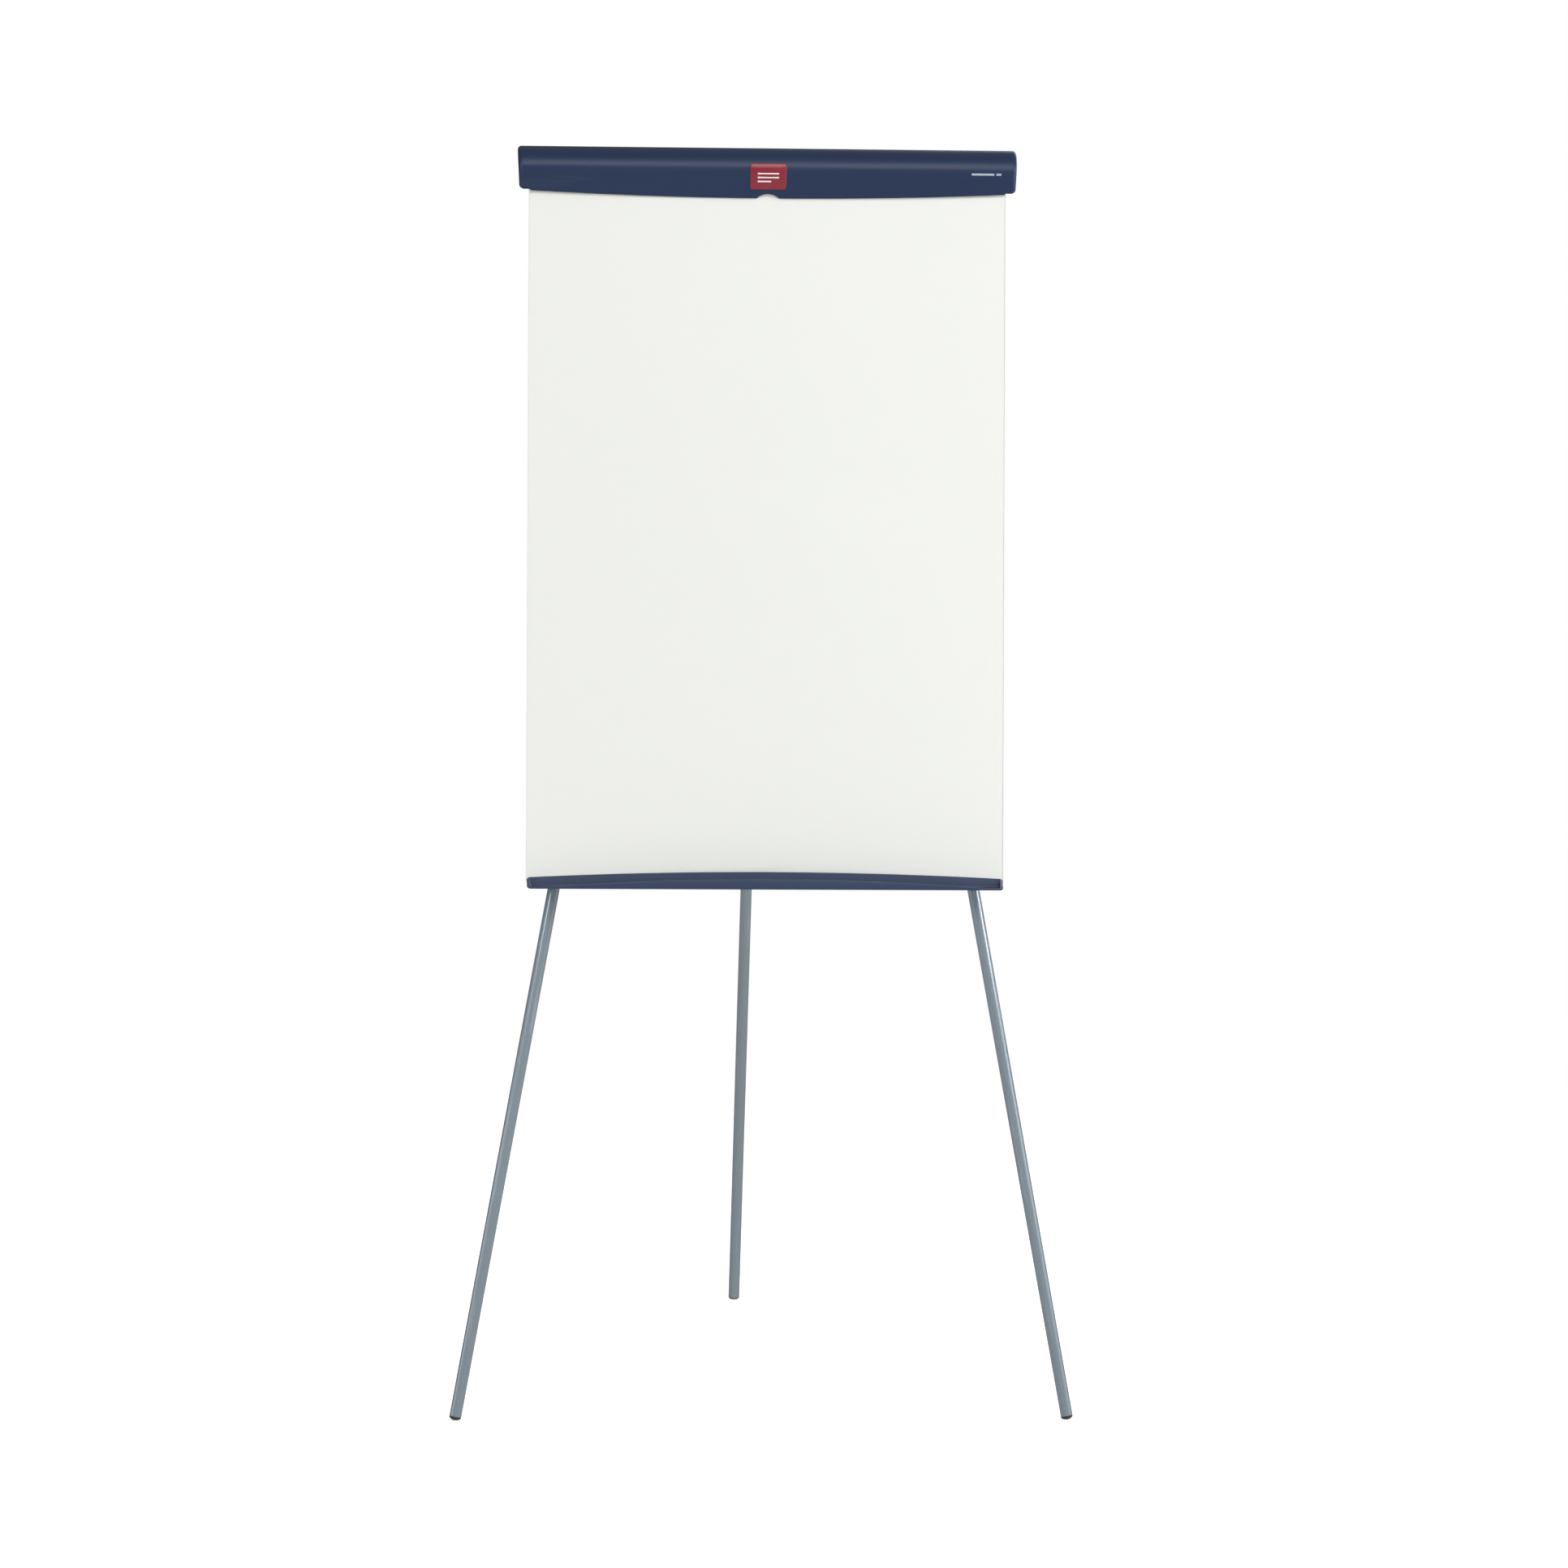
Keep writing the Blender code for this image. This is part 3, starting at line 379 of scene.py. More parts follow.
def foot_rubber():
    """Grey-black rubber, dusty towards the floor."""
    look = Look("foot_rubber", Specular_IOR_Level=0.3)
    dust = look.maths("MULTIPLY", look.span(look.height(), 0.55, 0.0), look.noise(500.0, 4.0))
    specks = look.noise(1500.0, 3.0)
    tones = (0.016, 0.019, 0.022), (0.030, 0.033, 0.036)
    look.paint(specks, *tones, (dust, 0.45, (0.20, 0.195, 0.18)))
    look.rough(specks, 0.70, 0.86)
    look.bump((specks, 50), (look.noise(300.0), 60))
    return look.material


def plate_paint():
    """Dark powder coat with orange peel, rubbed paler on its edges."""
    look = Look("plate_paint", Specular_IOR_Level=0.5)
    rubbed = look.span(look.edges(), 0.54, 0.80)
    dust = look.noise(25.0, 4.0)
    tones = (0.050, 0.054, 0.058), (0.074, 0.078, 0.082)
    look.paint(dust, *tones, (rubbed, 0.35, (0.15, 0.155, 0.16)))
    look.rough(dust, 0.36, 0.50)
    look.bump((look.noise(650.0, 1.0), 15))
    return look.material


PLASTICS = (navy_plastic, red_badge, melamine, black_plastic, foot_rubber)
OTHERS = (backing_paper, fibreboard, leg_paint, zinc_steel, rail_alloy, plate_paint)
LOOKS = {maker.__name__: maker() for maker in PLASTICS + OTHERS}


# ---- shape helpers
def mesh_of(name, build):
    """A mesh made by build(bm), facing out."""
    mesh = bpy.data.meshes.new(name)
    bm = bmesh.new()
    build(bm)
    bmesh.ops.recalc_face_normals(bm, faces=bm.faces)
    bm.to_mesh(mesh)
    bm.free()
    return mesh


def add_object(name, mesh, space):
    made = bpy.data.objects.new(name, mesh)
    scene.collection.objects.link(made)
    made.matrix_world = space
    return made


def add_piece(node, shape, space, slot, bevel=0.0, steps=2, look=None):
    """A finished piece in place of a CAD node, on its body. A shape is a mesh or its builder."""
    name = "fine_" + node
    mesh = shape if isinstance(shape, bpy.types.Mesh) else mesh_of(name, shape)
    piece = add_object(name, mesh, space)
    mesh.shade_smooth()
    if bevel:
        edge = piece.modifiers.new("edges", "BEVEL")
        edge.width = bevel
        edge.segments = steps
        edge.limit_method = "ANGLE"
        edge.angle_limit = SHARP
        edge.harden_normals = True
    else:
        mesh.set_sharp_from_angle(angle=SHARP)
    if not mesh.materials:  # a screw's mesh is shared
        mesh.materials.append(look or LOOKS[slot])
    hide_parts(node)
    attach(piece, frame["nodes"][node]["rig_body"])


def carved(mesh, tool, operation="DIFFERENCE"):
    """The mesh cut by, joined to or kept within another one."""
    body, cutter = add_object("body", mesh, Matrix()), add_object("cutter", tool, Matrix())
    step = body.modifiers.new("step", "BOOLEAN")
    step.operation = operation
    step.solver = "EXACT"
    step.object = cutter
    view = bpy.context.evaluated_depsgraph_get()
    made = bpy.data.meshes.new_from_object(body.evaluated_get(view))
    bpy.data.objects.remove(body)
    bpy.data.objects.remove(cutter)
    return made


def skin(bm, rows, around=True, ends=True):
    """Faces between rows of points with the same count, closed around and capped at both ends."""
    made = [[bm.verts.new(point) for point in row] for row in rows]
    count = len(made[0])
    for row, following in zip(made, made[1:]):
        for i in range(count if around else count - 1):
            j = (i + 1) % count
            bm.faces.new((row[i], row[j], following[j], following[i]))
    if ends:
        bm.faces.new(made[0])
        bm.faces.new(made[-1])
    return made


def lathe(bm, profile, place=Matrix(), sides=48, closed=False, ripple=None):
    """(radius, height) points spun about Z; a third number is a point's share of the ripple."""
    rows = []
    for radius, height, *share in profile:
        row = []
        for i in range(sides if radius else 1):
            angle = 2 * pi * i / sides
            reach = radius + (ripple(angle) * share[0] if share else 0)
            spot = Vector((reach * cos(angle), reach * sin(angle), height))
            row.append(bm.verts.new(place @ spot))
        rows.append(row)
    for row, following in zip(rows, rows[1:] + (rows[:1] if closed else [])):
        for i in range(sides):
            j = (i + 1) % sides
            corners = [row[i % len(row)], row[j % len(row)]]
            corners += [following[j % len(following)], following[i % len(following)]]
            face = list(dict.fromkeys(corners))
            if len(face) > 2:
                bm.faces.new(face)


def rounded(points, steps=4):
    """(u, v) or (u, v, radius) corners, with the ones that have a radius rounded off."""
    made = []
    for i, (u, v, *radius) in enumerate(points):
        if not radius:
            made.append((u, v))
            continue
        here = Vector((u, v))
        before = Vector(points[i - 1][:2]) - here
        after = Vector(points[(i + 1) % len(points)][:2]) - here
        half = before.angle(after) / 2
        reach = min(radius[0] / tan(half), before.length * 0.49, after.length * 0.49)
        bend = reach * tan(half)
        inwards = (before.normalized() + after.normalized()).normalized()
        middle = here + inwards * (bend / sin(half))
        start = here + before.normalized() * reach - middle
        end = here + after.normalized() * reach - middle
        first = atan2(start.y, start.x)
        turn = (atan2(end.y, end.x) - first + pi) % (2 * pi) - pi
        for k in range(steps + 1):
            angle = first + turn * k / steps
            made.append((middle.x + bend * cos(angle), middle.y + bend * sin(angle)))
    return made


def arc(centre, radius, start, end, steps):
    """Points on an arc, angles in degrees."""
    angles = [radians(start + (end - start) * i / steps) for i in range(steps + 1)]
    return [(centre[0] + radius * cos(a), centre[1] + radius * sin(a)) for a in angles]


def quarter(steps, first=1):
    """Angles of a quarter turn in equal steps, without its start unless first is 0."""
    return [pi / 2 * i / steps for i in range(first, steps + 1)]


def near(x, z, *offsets):
    """Points given in millimetres from one corner; a third value is kept as it is."""
    return [(x + across * MM, z + up * MM, *rest) for across, up, *rest in offsets]


def mirrored(profile):
    """A profile followed by its mirror image below."""
    return profile + [(radius, -height) for radius, height in reversed(profile)]


def prism(bm, outline, low, high, along="X"):
    """An outline from low to high: (Y, Z) points along X, (X, Z) along Y, (X, Y) along Z."""

    def place(u, v, w):
        return {"X": (w, u, v), "Y": (u, w, v), "Z": (u, v, w)}[along]

    skin(bm, [[place(u, v, w) for u, v in outline] for w in (low, high)])


def box_outline(left, bottom, right, top, radius=0.0, steps=4):
    corners = [(left, bottom), (right, bottom), (right, top), (left, top)]
    return rounded([(*corner, radius) for corner in corners], steps) if radius else corners


def sweep(bm, route, radius, sides=10):
    """A round wire along a route of points."""
    rows = []
    side = None
    for i, point in enumerate(route):
        ahead = (route[min(i + 1, len(route) - 1)] - route[max(i - 1, 0)]).normalized()
        side = side or ahead.orthogonal()
        side = (side - ahead * side.dot(ahead)).normalized()
        other = ahead.cross(side)
        angles = [2 * pi * k / sides for k in range(sides)]
        rows.append([point + (side * cos(a) + other * sin(a)) * radius for a in angles])
    skin(bm, rows)


# ---- pad clamp
clamp_low, clamp_high = extent("clamp_bar", BOARD)
CLAMP = BOARD @ shift(0, 0, clamp_high.z)
CLAMP_HALF = clamp_high.x
CLAMP_BACK = clamp_high.y
CLAMP_CREST = clamp_low.y
CLAMP_MID_DROP = clamp_high.z - clamp_low.z
CLAMP_END_DROP = 0.0638  # height of the bar at its ends
ROLL_DEPTH = 0.034  # the bar's rounded front: how far it reaches from its centre line
ROLL_HEIGHT = 0.032
ROLL_Y = CLAMP_CREST + ROLL_DEPTH
LIP_RETREAT = 0.0106  # the lip is this far behind the crest at its lower edge
LIP_SLANT = 0.35  # the share of that which grows evenly on the way down; the rest curves
BACK_DROP = 0.022  # the bar's back edge, below its top
BACK_CURVE = 0.012  # height of the rounding above it
CLAMP_WALL = 0.0025
CLAMP_TAPER = 0.0070  # the bar's ends come in by this share of its length at the lip
END_ROUND = 0.0054
BOW_HALF = 0.3375  # the lower edge bows between these
BOW_RISE = 0.0079
BOW_STEP = 0.001  # length of the step at each end of the bow
NOTCH_RADIUS = 0.0243
NOTCH_DEPTH = 0.0060
NOTCH_BLEND = 0.0004
BACK_STEPS, ROLL_STEPS, LIP_STEPS, END_STEPS = 12, 24, 12, 7
FINE_STEP, COARSE_STEP = 0.0008, 0.0075  # between places along the bar


def lip_y(drop):
    """Front of the lip, below the bar's rounded crest."""
    share = (drop - ROLL_HEIGHT) / (CLAMP_MID_DROP - ROLL_HEIGHT)
    return CLAMP_CREST + LIP_RETREAT * (LIP_SLANT + (1 - LIP_SLANT) * share) * share


def front_y(drop):
    """Front of the bar at a distance below its top."""
    if drop >= ROLL_HEIGHT:
        return lip_y(drop)
    height = 1 - drop / ROLL_HEIGHT
    return ROLL_Y - ROLL_DEPTH * sqrt(1 - height * height)


def lower_edge(x):
    """How far below its top the bar ends, along its length: a bow, a finger notch and flat ends."""
    bow = CLAMP_MID_DROP - BOW_RISE * (x / BOW_HALF) ** 2
    if abs(x) > BOW_HALF:
        step = min(1.0, (abs(x) - BOW_HALF) / BOW_STEP)
        return bow + (CLAMP_END_DROP - bow) * step
    if abs(x) > NOTCH_RADIUS * 0.9:
        return bow
    notch = CLAMP_MID_DROP - NOTCH_DEPTH + NOTCH_RADIUS - sqrt(NOTCH_RADIUS**2 - x * x)
    meet = max(0.0, 1 - abs(bow - notch) / NOTCH_BLEND)
    return min(bow, notch) - meet * meet * NOTCH_BLEND / 4


def bar_section(x, inset, wall=0.0):
    """The bar's surface across its length, from its back edge over the top to its lower edge."""
    into = inset + wall
    points = [(CLAMP_BACK - into, BACK_DROP - inset)]
    for angle in quarter(BACK_STEPS, 0):
        y = ROLL_Y + (CLAMP_BACK - ROLL_Y - into) * cos(angle)
        points.append((y, BACK_CURVE - (BACK_CURVE - into) * sin(angle)))
    for angle in quarter(ROLL_STEPS):
        y = ROLL_Y - (ROLL_DEPTH - into) * sin(angle)
        points.append((y, ROLL_HEIGHT - (ROLL_HEIGHT - into) * cos(angle)))
    bottom = lower_edge(x) - inset
    for i in range(1, LIP_STEPS + 1):
        drop = ROLL_HEIGHT + (bottom - ROLL_HEIGHT) * i / LIP_STEPS
        points.append((lip_y(drop) + into, drop))
    return [(x * (1 - CLAMP_TAPER * drop / CLAMP_END_DROP), y, -drop) for y, drop in points]


def bar_stations():
    """Places along the bar, closer together about the notch and where the lower edge steps."""
    places = {0.0, CLAMP_HALF - END_ROUND} | {BOW_HALF + BOW_STEP * i / 2 for i in range(3)}
    places |= {FINE_STEP * i for i in range(1, 28)}
    places |= {(3 + i) * COARSE_STEP for i in range(42)}
    return sorted({-x for x in places} | places)


def build_bar(bm):
    """A shell with closed ends, open towards the board, with its rim and rounded ends."""
    cheek = CLAMP_HALF - END_ROUND
    ends = [(cheek + END_ROUND * sin(t), END_ROUND * (1 - cos(t))) for t in quarter(END_STEPS)]
    middle = bar_stations()
    rows = [bar_section(-x, inset) for x, inset in reversed(ends)]
    rows += [bar_section(x, 0) for x in middle]
    rows += [bar_section(x, inset) for x, inset in ends]
    outer = skin(bm, rows, around=False)
    inner = skin(bm, [bar_section(x, 0, CLAMP_WALL) for x in middle], around=False)
    first, last = len(ends), len(ends) + len(middle) - 1
    for i in range(len(middle) - 1):
        a, b = outer[first + i], outer[first + i + 1]
        c, d = inner[i], inner[i + 1]
        bm.faces.new((a[-1], b[-1], d[-1], c[-1]))
        bm.faces.new((a[0], b[0], d[0], c[0]))
    for wall, beyond, hollow in ((first, first - 1, inner[0]), (last, last + 1, inner[-1])):
        a, b = outer[wall], outer[beyond]
        bm.faces.new((a[-1], hollow[-1], hollow[0], a[0], b[0], b[-1]))
    for i in list(range(first - 1)) + list(range(last + 1, len(outer) - 1)):
        a, b = outer[i], outer[i + 1]
        bm.faces.new((a[-1], b[-1], b[0], a[0]))


LUG_THICK = 0.003
BADGE_CORNER, BADGE_STEP = 0.004, 0.003
BADGE_BASE, BADGE_RISE, BADGE_CROWN = 0.0002, 0.0008, 0.0002  # heights over the bar's front
BADGE_HOLE = 0.0006  # half the height of the last ring's flat
CROWN_STEPS = 10
PRINT_RISE, PRINT_EDGE = 0.00005, 0.0001  # a dash's middle stands out, its edges are sunk
DASH_ROWS, DASH_STEPS = 4, 8  # how a dash is divided downwards and along its length
# plain printed dashes: left and right end, distance below the bar's top, half their height
BADGE_DASHES = (
    (-0.0150, 0.0150, 0.0398, 0.0013),
    (-0.0150, 0.0150, 0.0452, 0.0013),
    (-0.0150, 0.0040, 0.0506, 0.0013),
)
BAR_DASHES = ((0.2880, 0.3200, 0.0378, 0.0014), (0.3230, 0.3300, 0.0378, 0.0014))
BAR_PROUD = 0.00012


def build_lugs(bm):
    """Hinge lugs inside the bar, beside each bracket, as ribs that hang from its roof."""
    _, y, z = centre_of("hinge_rod", CLAMP)
    outline = [(y - 0.014, z + 0.003)] + arc((y, z), 0.0052, 200, 340, 10) + [(0.0, z + 0.006)]
    # the top runs inside the bar's wall
    outline += near(0, 0, (-1.5, -8.5), (-10, -1.2), (-20, -2.7), (-30, -7.6), (-33, -10.1))
    for side in SIDES:
        low, high = extent(f"hinge_bracket_{side}", CLAMP)
        inner, outer = (low.x, high.x) if side == "right" else (high.x, low.x)
        for edge, away in ((inner, -0.0065), (outer, 0.0205)):  # the spring needs the wider gap
            x = edge + SIDES[side] * away
            prism(bm, outline, x - LUG_THICK / 2, x + LUG_THICK / 2)


def badge_ring(x_end, bottom, top, inset, raised):
    """A rounded rectangle drawn on the bar's front, moved in by inset and raised off it."""
    outline = box_outline(inset - x_end, bottom + inset, x_end - inset, top - inset)
    corners = rounded([(*point, BADGE_CORNER - inset) for point in outline], 6)
    ring = []
    for (x, z), after in zip(corners, corners[1:] + corners[:1]):
        parts = max(1, round(abs(after[1] - z) / BADGE_STEP))
        for k in range(parts):
            spot = z + (after[1] - z) * k / parts
            ring.append((x + (after[0] - x) * k / parts, front_y(-spot) - raised, spot))
    return ring


def badge_rings(x_end, bottom, top):
    """Rings from the edge of the inlay over its rounded rim to its slightly domed middle."""
    rim = [(0.0, 0.0), (0.0, 0.5), (0.3, 0.85), (1.0, 1.0)]  # shares of the rise, inwards and out
    rings = []
    for inwards, out in rim:
        inset, raised = BADGE_RISE * inwards, BADGE_BASE + BADGE_RISE * out
        rings.append(badge_ring(x_end, bottom, top, inset, raised))
    middle, reach = (top + bottom) / 2, min(x_end, (top - bottom) / 2)
    for i in range(1, CROWN_STEPS + 1):
        share = i / CROWN_STEPS
        shrink = 1 - share * (reach - BADGE_HOLE) / reach
        raised = BADGE_BASE + BADGE_RISE + BADGE_CROWN * (1 - (1 - share) ** 2)
        spots = [(x * shrink, middle + (z - middle) * shrink) for x, _, z in rings[3]]
        rings.append([(x, front_y(-z) - raised, z) for x, z in spots])
    return rings


def build_dashes(name, dashes, proud, look):
    """Thin printed dashes that follow the bar's front, proud of it by a given height."""

    def bars(bm):
        for left, right, middle, half in dashes:
            rows = []
            places = [left + (right - left) * k / DASH_STEPS for k in range(DASH_STEPS + 1)]
            for i in range(DASH_ROWS + 1):
                drop = middle - half + 2 * half * i / DASH_ROWS
                y = front_y(drop) - proud - (PRINT_RISE if 0 < i < DASH_ROWS else -PRINT_EDGE)
                rows.append([(x, y, -drop) for x in places])
            skin(bm, rows, around=False, ends=False)

    marks = add_object(name, mesh_of(name, bars), CLAMP)
    marks.data.materials.append(look)
    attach(marks, frame["nodes"]["clamp_badge"]["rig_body"])


def build_badge():
    low, high = extent("clamp_badge", CLAMP)
    rings = badge_rings(high.x, low.z, high.z)
    add_piece("clamp_badge", lambda bm: skin(bm, rings), CLAMP, "red_badge")
    face = BADGE_BASE + BADGE_RISE + BADGE_CROWN
    build_dashes("fine_badge_marks", BADGE_DASHES, face, printed("badge_print", BADGE_PRINT))
    build_dashes("fine_bar_marks", BAR_DASHES, BAR_PROUD, printed("bar_print", BAR_PRINT))


def build_clamp():
    def shell(bm):
        build_bar(bm)
        build_lugs(bm)

    add_piece("clamp_bar", shell, CLAMP, "navy_plastic", bevel=0.0009, steps=3)
    build_badge()


# ---- pen tray
tray_low, tray_high = extent("pen_tray", BOARD)
board_low, board_high = extent("writing_face", BOARD)
TRAY = BOARD @ shift(0, 0, tray_low.z)
TRAY_HALF = tray_high.x
TRAY_FLANGE = tray_high.y
TRAY_WALL = 0.0025
TRAY_FACE = board_low.y - FIT  # the inside of its back wall
TRAY_TROUGH = TRAY_FACE - TRAY_WALL  # the trough side of that wall
TRAY_SEAT = board_low.z - tray_low.z - FIT
TRAY_ROUND = 0.0038
FLANGE_TOP = 0.022
# sizes at the tray's middle, and how much they lose per square metre away from it
BACK_TOP, BACK_ARCH = 0.0246, 0.076
LIP_TOP, LIP_ARCH = 0.0144, 0.117
TROUGH_DEPTH, TROUGH_ARCH = 0.048, 0.130
TROUGH_FILLET = 0.0035
LIP_SLOPE = 0.0006  # how far the lip's top leans in
TRAY_TAPER = 0.009  # the tray is shorter at its lip by this share
SLIVER = 0.0001  # where the trough is filled at its ends
TRAY_STEPS, CHEEK_STEPS = 80, 5


def tray_section(x, filled=False, inset=0.0):
    """The tray across its length: flange, seat, back wall, trough and lip, with rounded corners."""
    back = BACK_TOP - BACK_ARCH * x * x
    lip_top = max(LIP_TOP - LIP_ARCH * x * x, TRAY_WALL + LIP_SLOPE)
    lip = TRAY_TROUGH - (TROUGH_DEPTH - TROUGH_ARCH * x * x)
    inside = outside = TRAY_WALL  # heights of the trough's floor
    fillet = TROUGH_FILLET
    if filled:
        inside, outside, fillet = back - SLIVER, lip_top - SLIVER, SLIVER
    flange_in = TRAY_FLANGE - TRAY_WALL
    under, lean = TRAY_SEAT - TRAY_WALL, lip - LIP_SLOPE
    corners = [(TRAY_FLANGE, under, 0.0015), (TRAY_FLANGE, FLANGE_TOP, 0.0008)]
    corners += [(flange_in, FLANGE_TOP, 0.0008), (flange_in, TRAY_SEAT, 0.0003)]
    corners += [(TRAY_FACE, TRAY_SEAT, 0.0003), (TRAY_FACE, back, 0.0004)]
    corners += [(TRAY_TROUGH, back, 0.0010), (TRAY_TROUGH - 0.0002, inside, fillet)]
    corners += [(lip + 0.0002, outside, fillet), (lean, lip_top, 0.0010)]
    corners += [(lean - TRAY_WALL, lip_top, 0.0010), (lip - TRAY_WALL, 0.0, 0.0030)]
    corners += [(TRAY_FACE, 0.0, 0.0020), (TRAY_FACE, under, 0.0003)]
    points = []
    middle = (TRAY_FLANGE + lip - TRAY_WALL) / 2
    for y, z in rounded(corners):
        z += (back / 2 - z) * inset / (back / 2)
        y += (middle - y) * inset / (TRAY_FLANGE - middle)
        reach = max(0.0, (TRAY_TROUGH - y) / TROUGH_DEPTH)
        points.append((x * (1 - TRAY_TAPER * reach), y, z))
    return points


def build_tray(bm):
    cheek = TRAY_HALF - TRAY_ROUND
    turns = quarter(CHEEK_STEPS)
    ends = [(cheek + TRAY_ROUND * sin(t), TRAY_ROUND * (1 - cos(t))) for t in turns]
    rows = [tray_section(-x, True, inset) for x, inset in reversed(ends)]
    rows.append(tray_section(-cheek, True))
    places = [(cheek - SLIVER) * (2 * i / TRAY_STEPS - 1) for i in range(TRAY_STEPS + 1)]
    rows += [tray_section(x) for x in places]
    rows.append(tray_section(cheek, True))
    rows += [tray_section(x, True, inset) for x, inset in ends]
    skin(bm, rows)


# ---- screws, bolts and the nut
# radius and height, in millimetres, of the heads of screws and bolts
PAN_HEAD = ((0, 0), (1.8, -0.04), (2.8, -0.25), (3.6, -0.7), (4.1, -1.4), (4.2, -1.9))
PAN_HEAD += ((4.2, -2.3), (4.1, -2.4), (1.8, -2.4))
BUTTON_HEAD = ((0, 0), (4.2, 0), (5.2, -0.4), (6.0, -1.3), (6.4, -2.6), (6.4, -4.3))
BUTTON_HEAD += ((6.2, -4.6), (3.0, -4.6))
THREAD_START, THREAD_PITCH = 0.0034, 0.0011
SCREW_TURN = 37  # degrees that each screw's recess is turned from the last one's
RECESS = (0.0019, 0.00045)  # half length and half width of a recess's arm


def screw_mesh(length):
    """A pan-head screw with a cross recess; its head's top is at the origin and it points down."""

    def head(bm):
        profile = near(0, 0, *PAN_HEAD)
        depth = THREAD_START
        while depth < length - 2 * THREAD_PITCH:
            profile += near(0, -depth, (1.5, 0), (1.9, -0.5), (1.5, -1.0))
            depth += THREAD_PITCH
        profile += near(0, -length, (1.4, 1.8), (0, 0))
        lathe(bm, profile, sides=28)

    made = mesh_of("screw", head)
    for x, y in (RECESS, RECESS[::-1]):

        def arm(bm, x=x, y=y):
            square = ((-x, -y), (x, -y), (x, y), (-x, y))
            levels = ((0.001, 1.0), (0.0, 1.0), (-0.0014, 0.6))
            skin(bm, [[(u * share, v * share, z) for u, v in square] for z, share in levels])

        made = carved(made, mesh_of("arm", arm))
    return made


HEXAGON = (0, 300, 5)  # an arc's start, end and steps


def bolt_mesh(length):
    """A button-head bolt with a hexagon socket, placed like a screw."""

    def body(bm):
        shank = near(0, -length, (3.0, 0.6), (2.4, 0), (0, 0))
        lathe(bm, near(0, 0, *BUTTON_HEAD) + shank, sides=40)

    def socket(bm):
        prism(bm, arc((0, 0), 0.0025, *HEXAGON), -0.0024, 0.002, "Z")

    return carved(mesh_of("bolt", body), mesh_of("socket", socket))


def head_place(node, axis):
    """The place of a fastener whose head points along the board frame's Y or X."""
    x, y, z = centre_of(node, BOARD)
    top = extent(node, BOARD)[1]
    if axis == "Y":
        return BOARD @ shift(x, top.y, z) @ facing("X", -1)
    return BOARD @ shift(top.x, y, z) @ facing("Y", 1)


def build_fasteners():
    names = [f"{kind}_{i}" for kind in ("tray_screw", "head_screw") for i in range(1, 5)]
    names += [f"{kind}_{side}" for kind in ("clip_screw", "bracket_screw") for side in SIDES]
    by_length = {}
    for i, name in enumerate(names):
        low, high = extent(name, BOARD)
        length = round(high.y - low.y, 4)
        if length not in by_length:
            by_length[length] = screw_mesh(length)
        place = head_place(name, "Y") @ Matrix.Rotation(radians(SCREW_TURN * i), 4, "Z")
        add_piece(name, by_length[length], place, "zinc_steel")
    bolts = {"leg_pivot_bolt_left": "Y", "leg_pivot_bolt_right": "Y", "rear_pivot_bolt": "X"}
    for node, axis in bolts.items():
        low, high = extent(node, BOARD)
        length = high.y - low.y if axis == "Y" else high.x - low.x
        add_piece(node, bolt_mesh(length), head_place(node, axis), "zinc_steel")


def build_nut():
    """A hexagon whose corners are turned off at both faces."""
    low, high = extent("rear_pivot_nut", BOARD)
    half = (high.x - low.x) / 2

    def blank(bm):
        lathe(bm, mirrored(near(0, half, (0, 0), (5.4, 0), (6.4, -0.6))))

    def hexagon(bm):
        prism(bm, arc((0, 0), 0.0062, *HEXAGON), -0.01, 0.01, "Z")

    nut = carved(mesh_of("nut", blank), mesh_of("hexagon", hexagon), "INTERSECT")
    place = BOARD @ shift(*(low + high) / 2) @ facing("Y", 1) @ facing("Z", 1)
    add_piece("rear_pivot_nut", nut, place, "zinc_steel")


# ---- fittings on the board's back
BEAD_HEIGHT = 0.0009
BEAD_CROWN = 4 / 4.6  # below 1, so that a bead's top is a narrow flat


def bead(bm, start, end, y, radius):
    """A pressed bead between two (x, z) points on a plate's back face."""
    turn = atan2(end[1] - start[1], end[0] - start[0])
    rows = []
    for angle in quarter(4, 0):
        reach = radius * cos(angle * BEAD_CROWN)
        rise = BEAD_HEIGHT * sin(angle)
        ring = []
        for (middle_x, middle_z), first in ((end, -90), (start, 90)):
            for x, z in arc((0, 0), reach, first, first + 180, 10):
                along, across = x * cos(turn) - z * sin(turn), x * sin(turn) + z * cos(turn)
                ring.append((middle_x + along, y + rise, middle_z + across))
        rows.append(ring)
    skin(bm, rows)


def build_head_plate(bm):
    low, high = extent("head_plate", BOARD)
    prism(bm, box_outline(low.x, low.z, high.x, high.z, 0.012, 8), low.y, high.y, "Y")
    middle, back = (low.z + high.z) / 2, high.y - 0.0001
    for z in (low.z + 0.0065, high.z - 0.0065):
        bead(bm, (-0.072, z), (0.072, z), back, 0.003)
    for side in (-1, 1):
        for z in (middle - 0.018, middle + 0.018):
            bead(bm, (side * 0.034, z), (side * 0.105, z), back, 0.0038)
        bead(bm, (side * 0.160, middle - 0.024), (side * 0.160, middle + 0.024), back, 0.003)


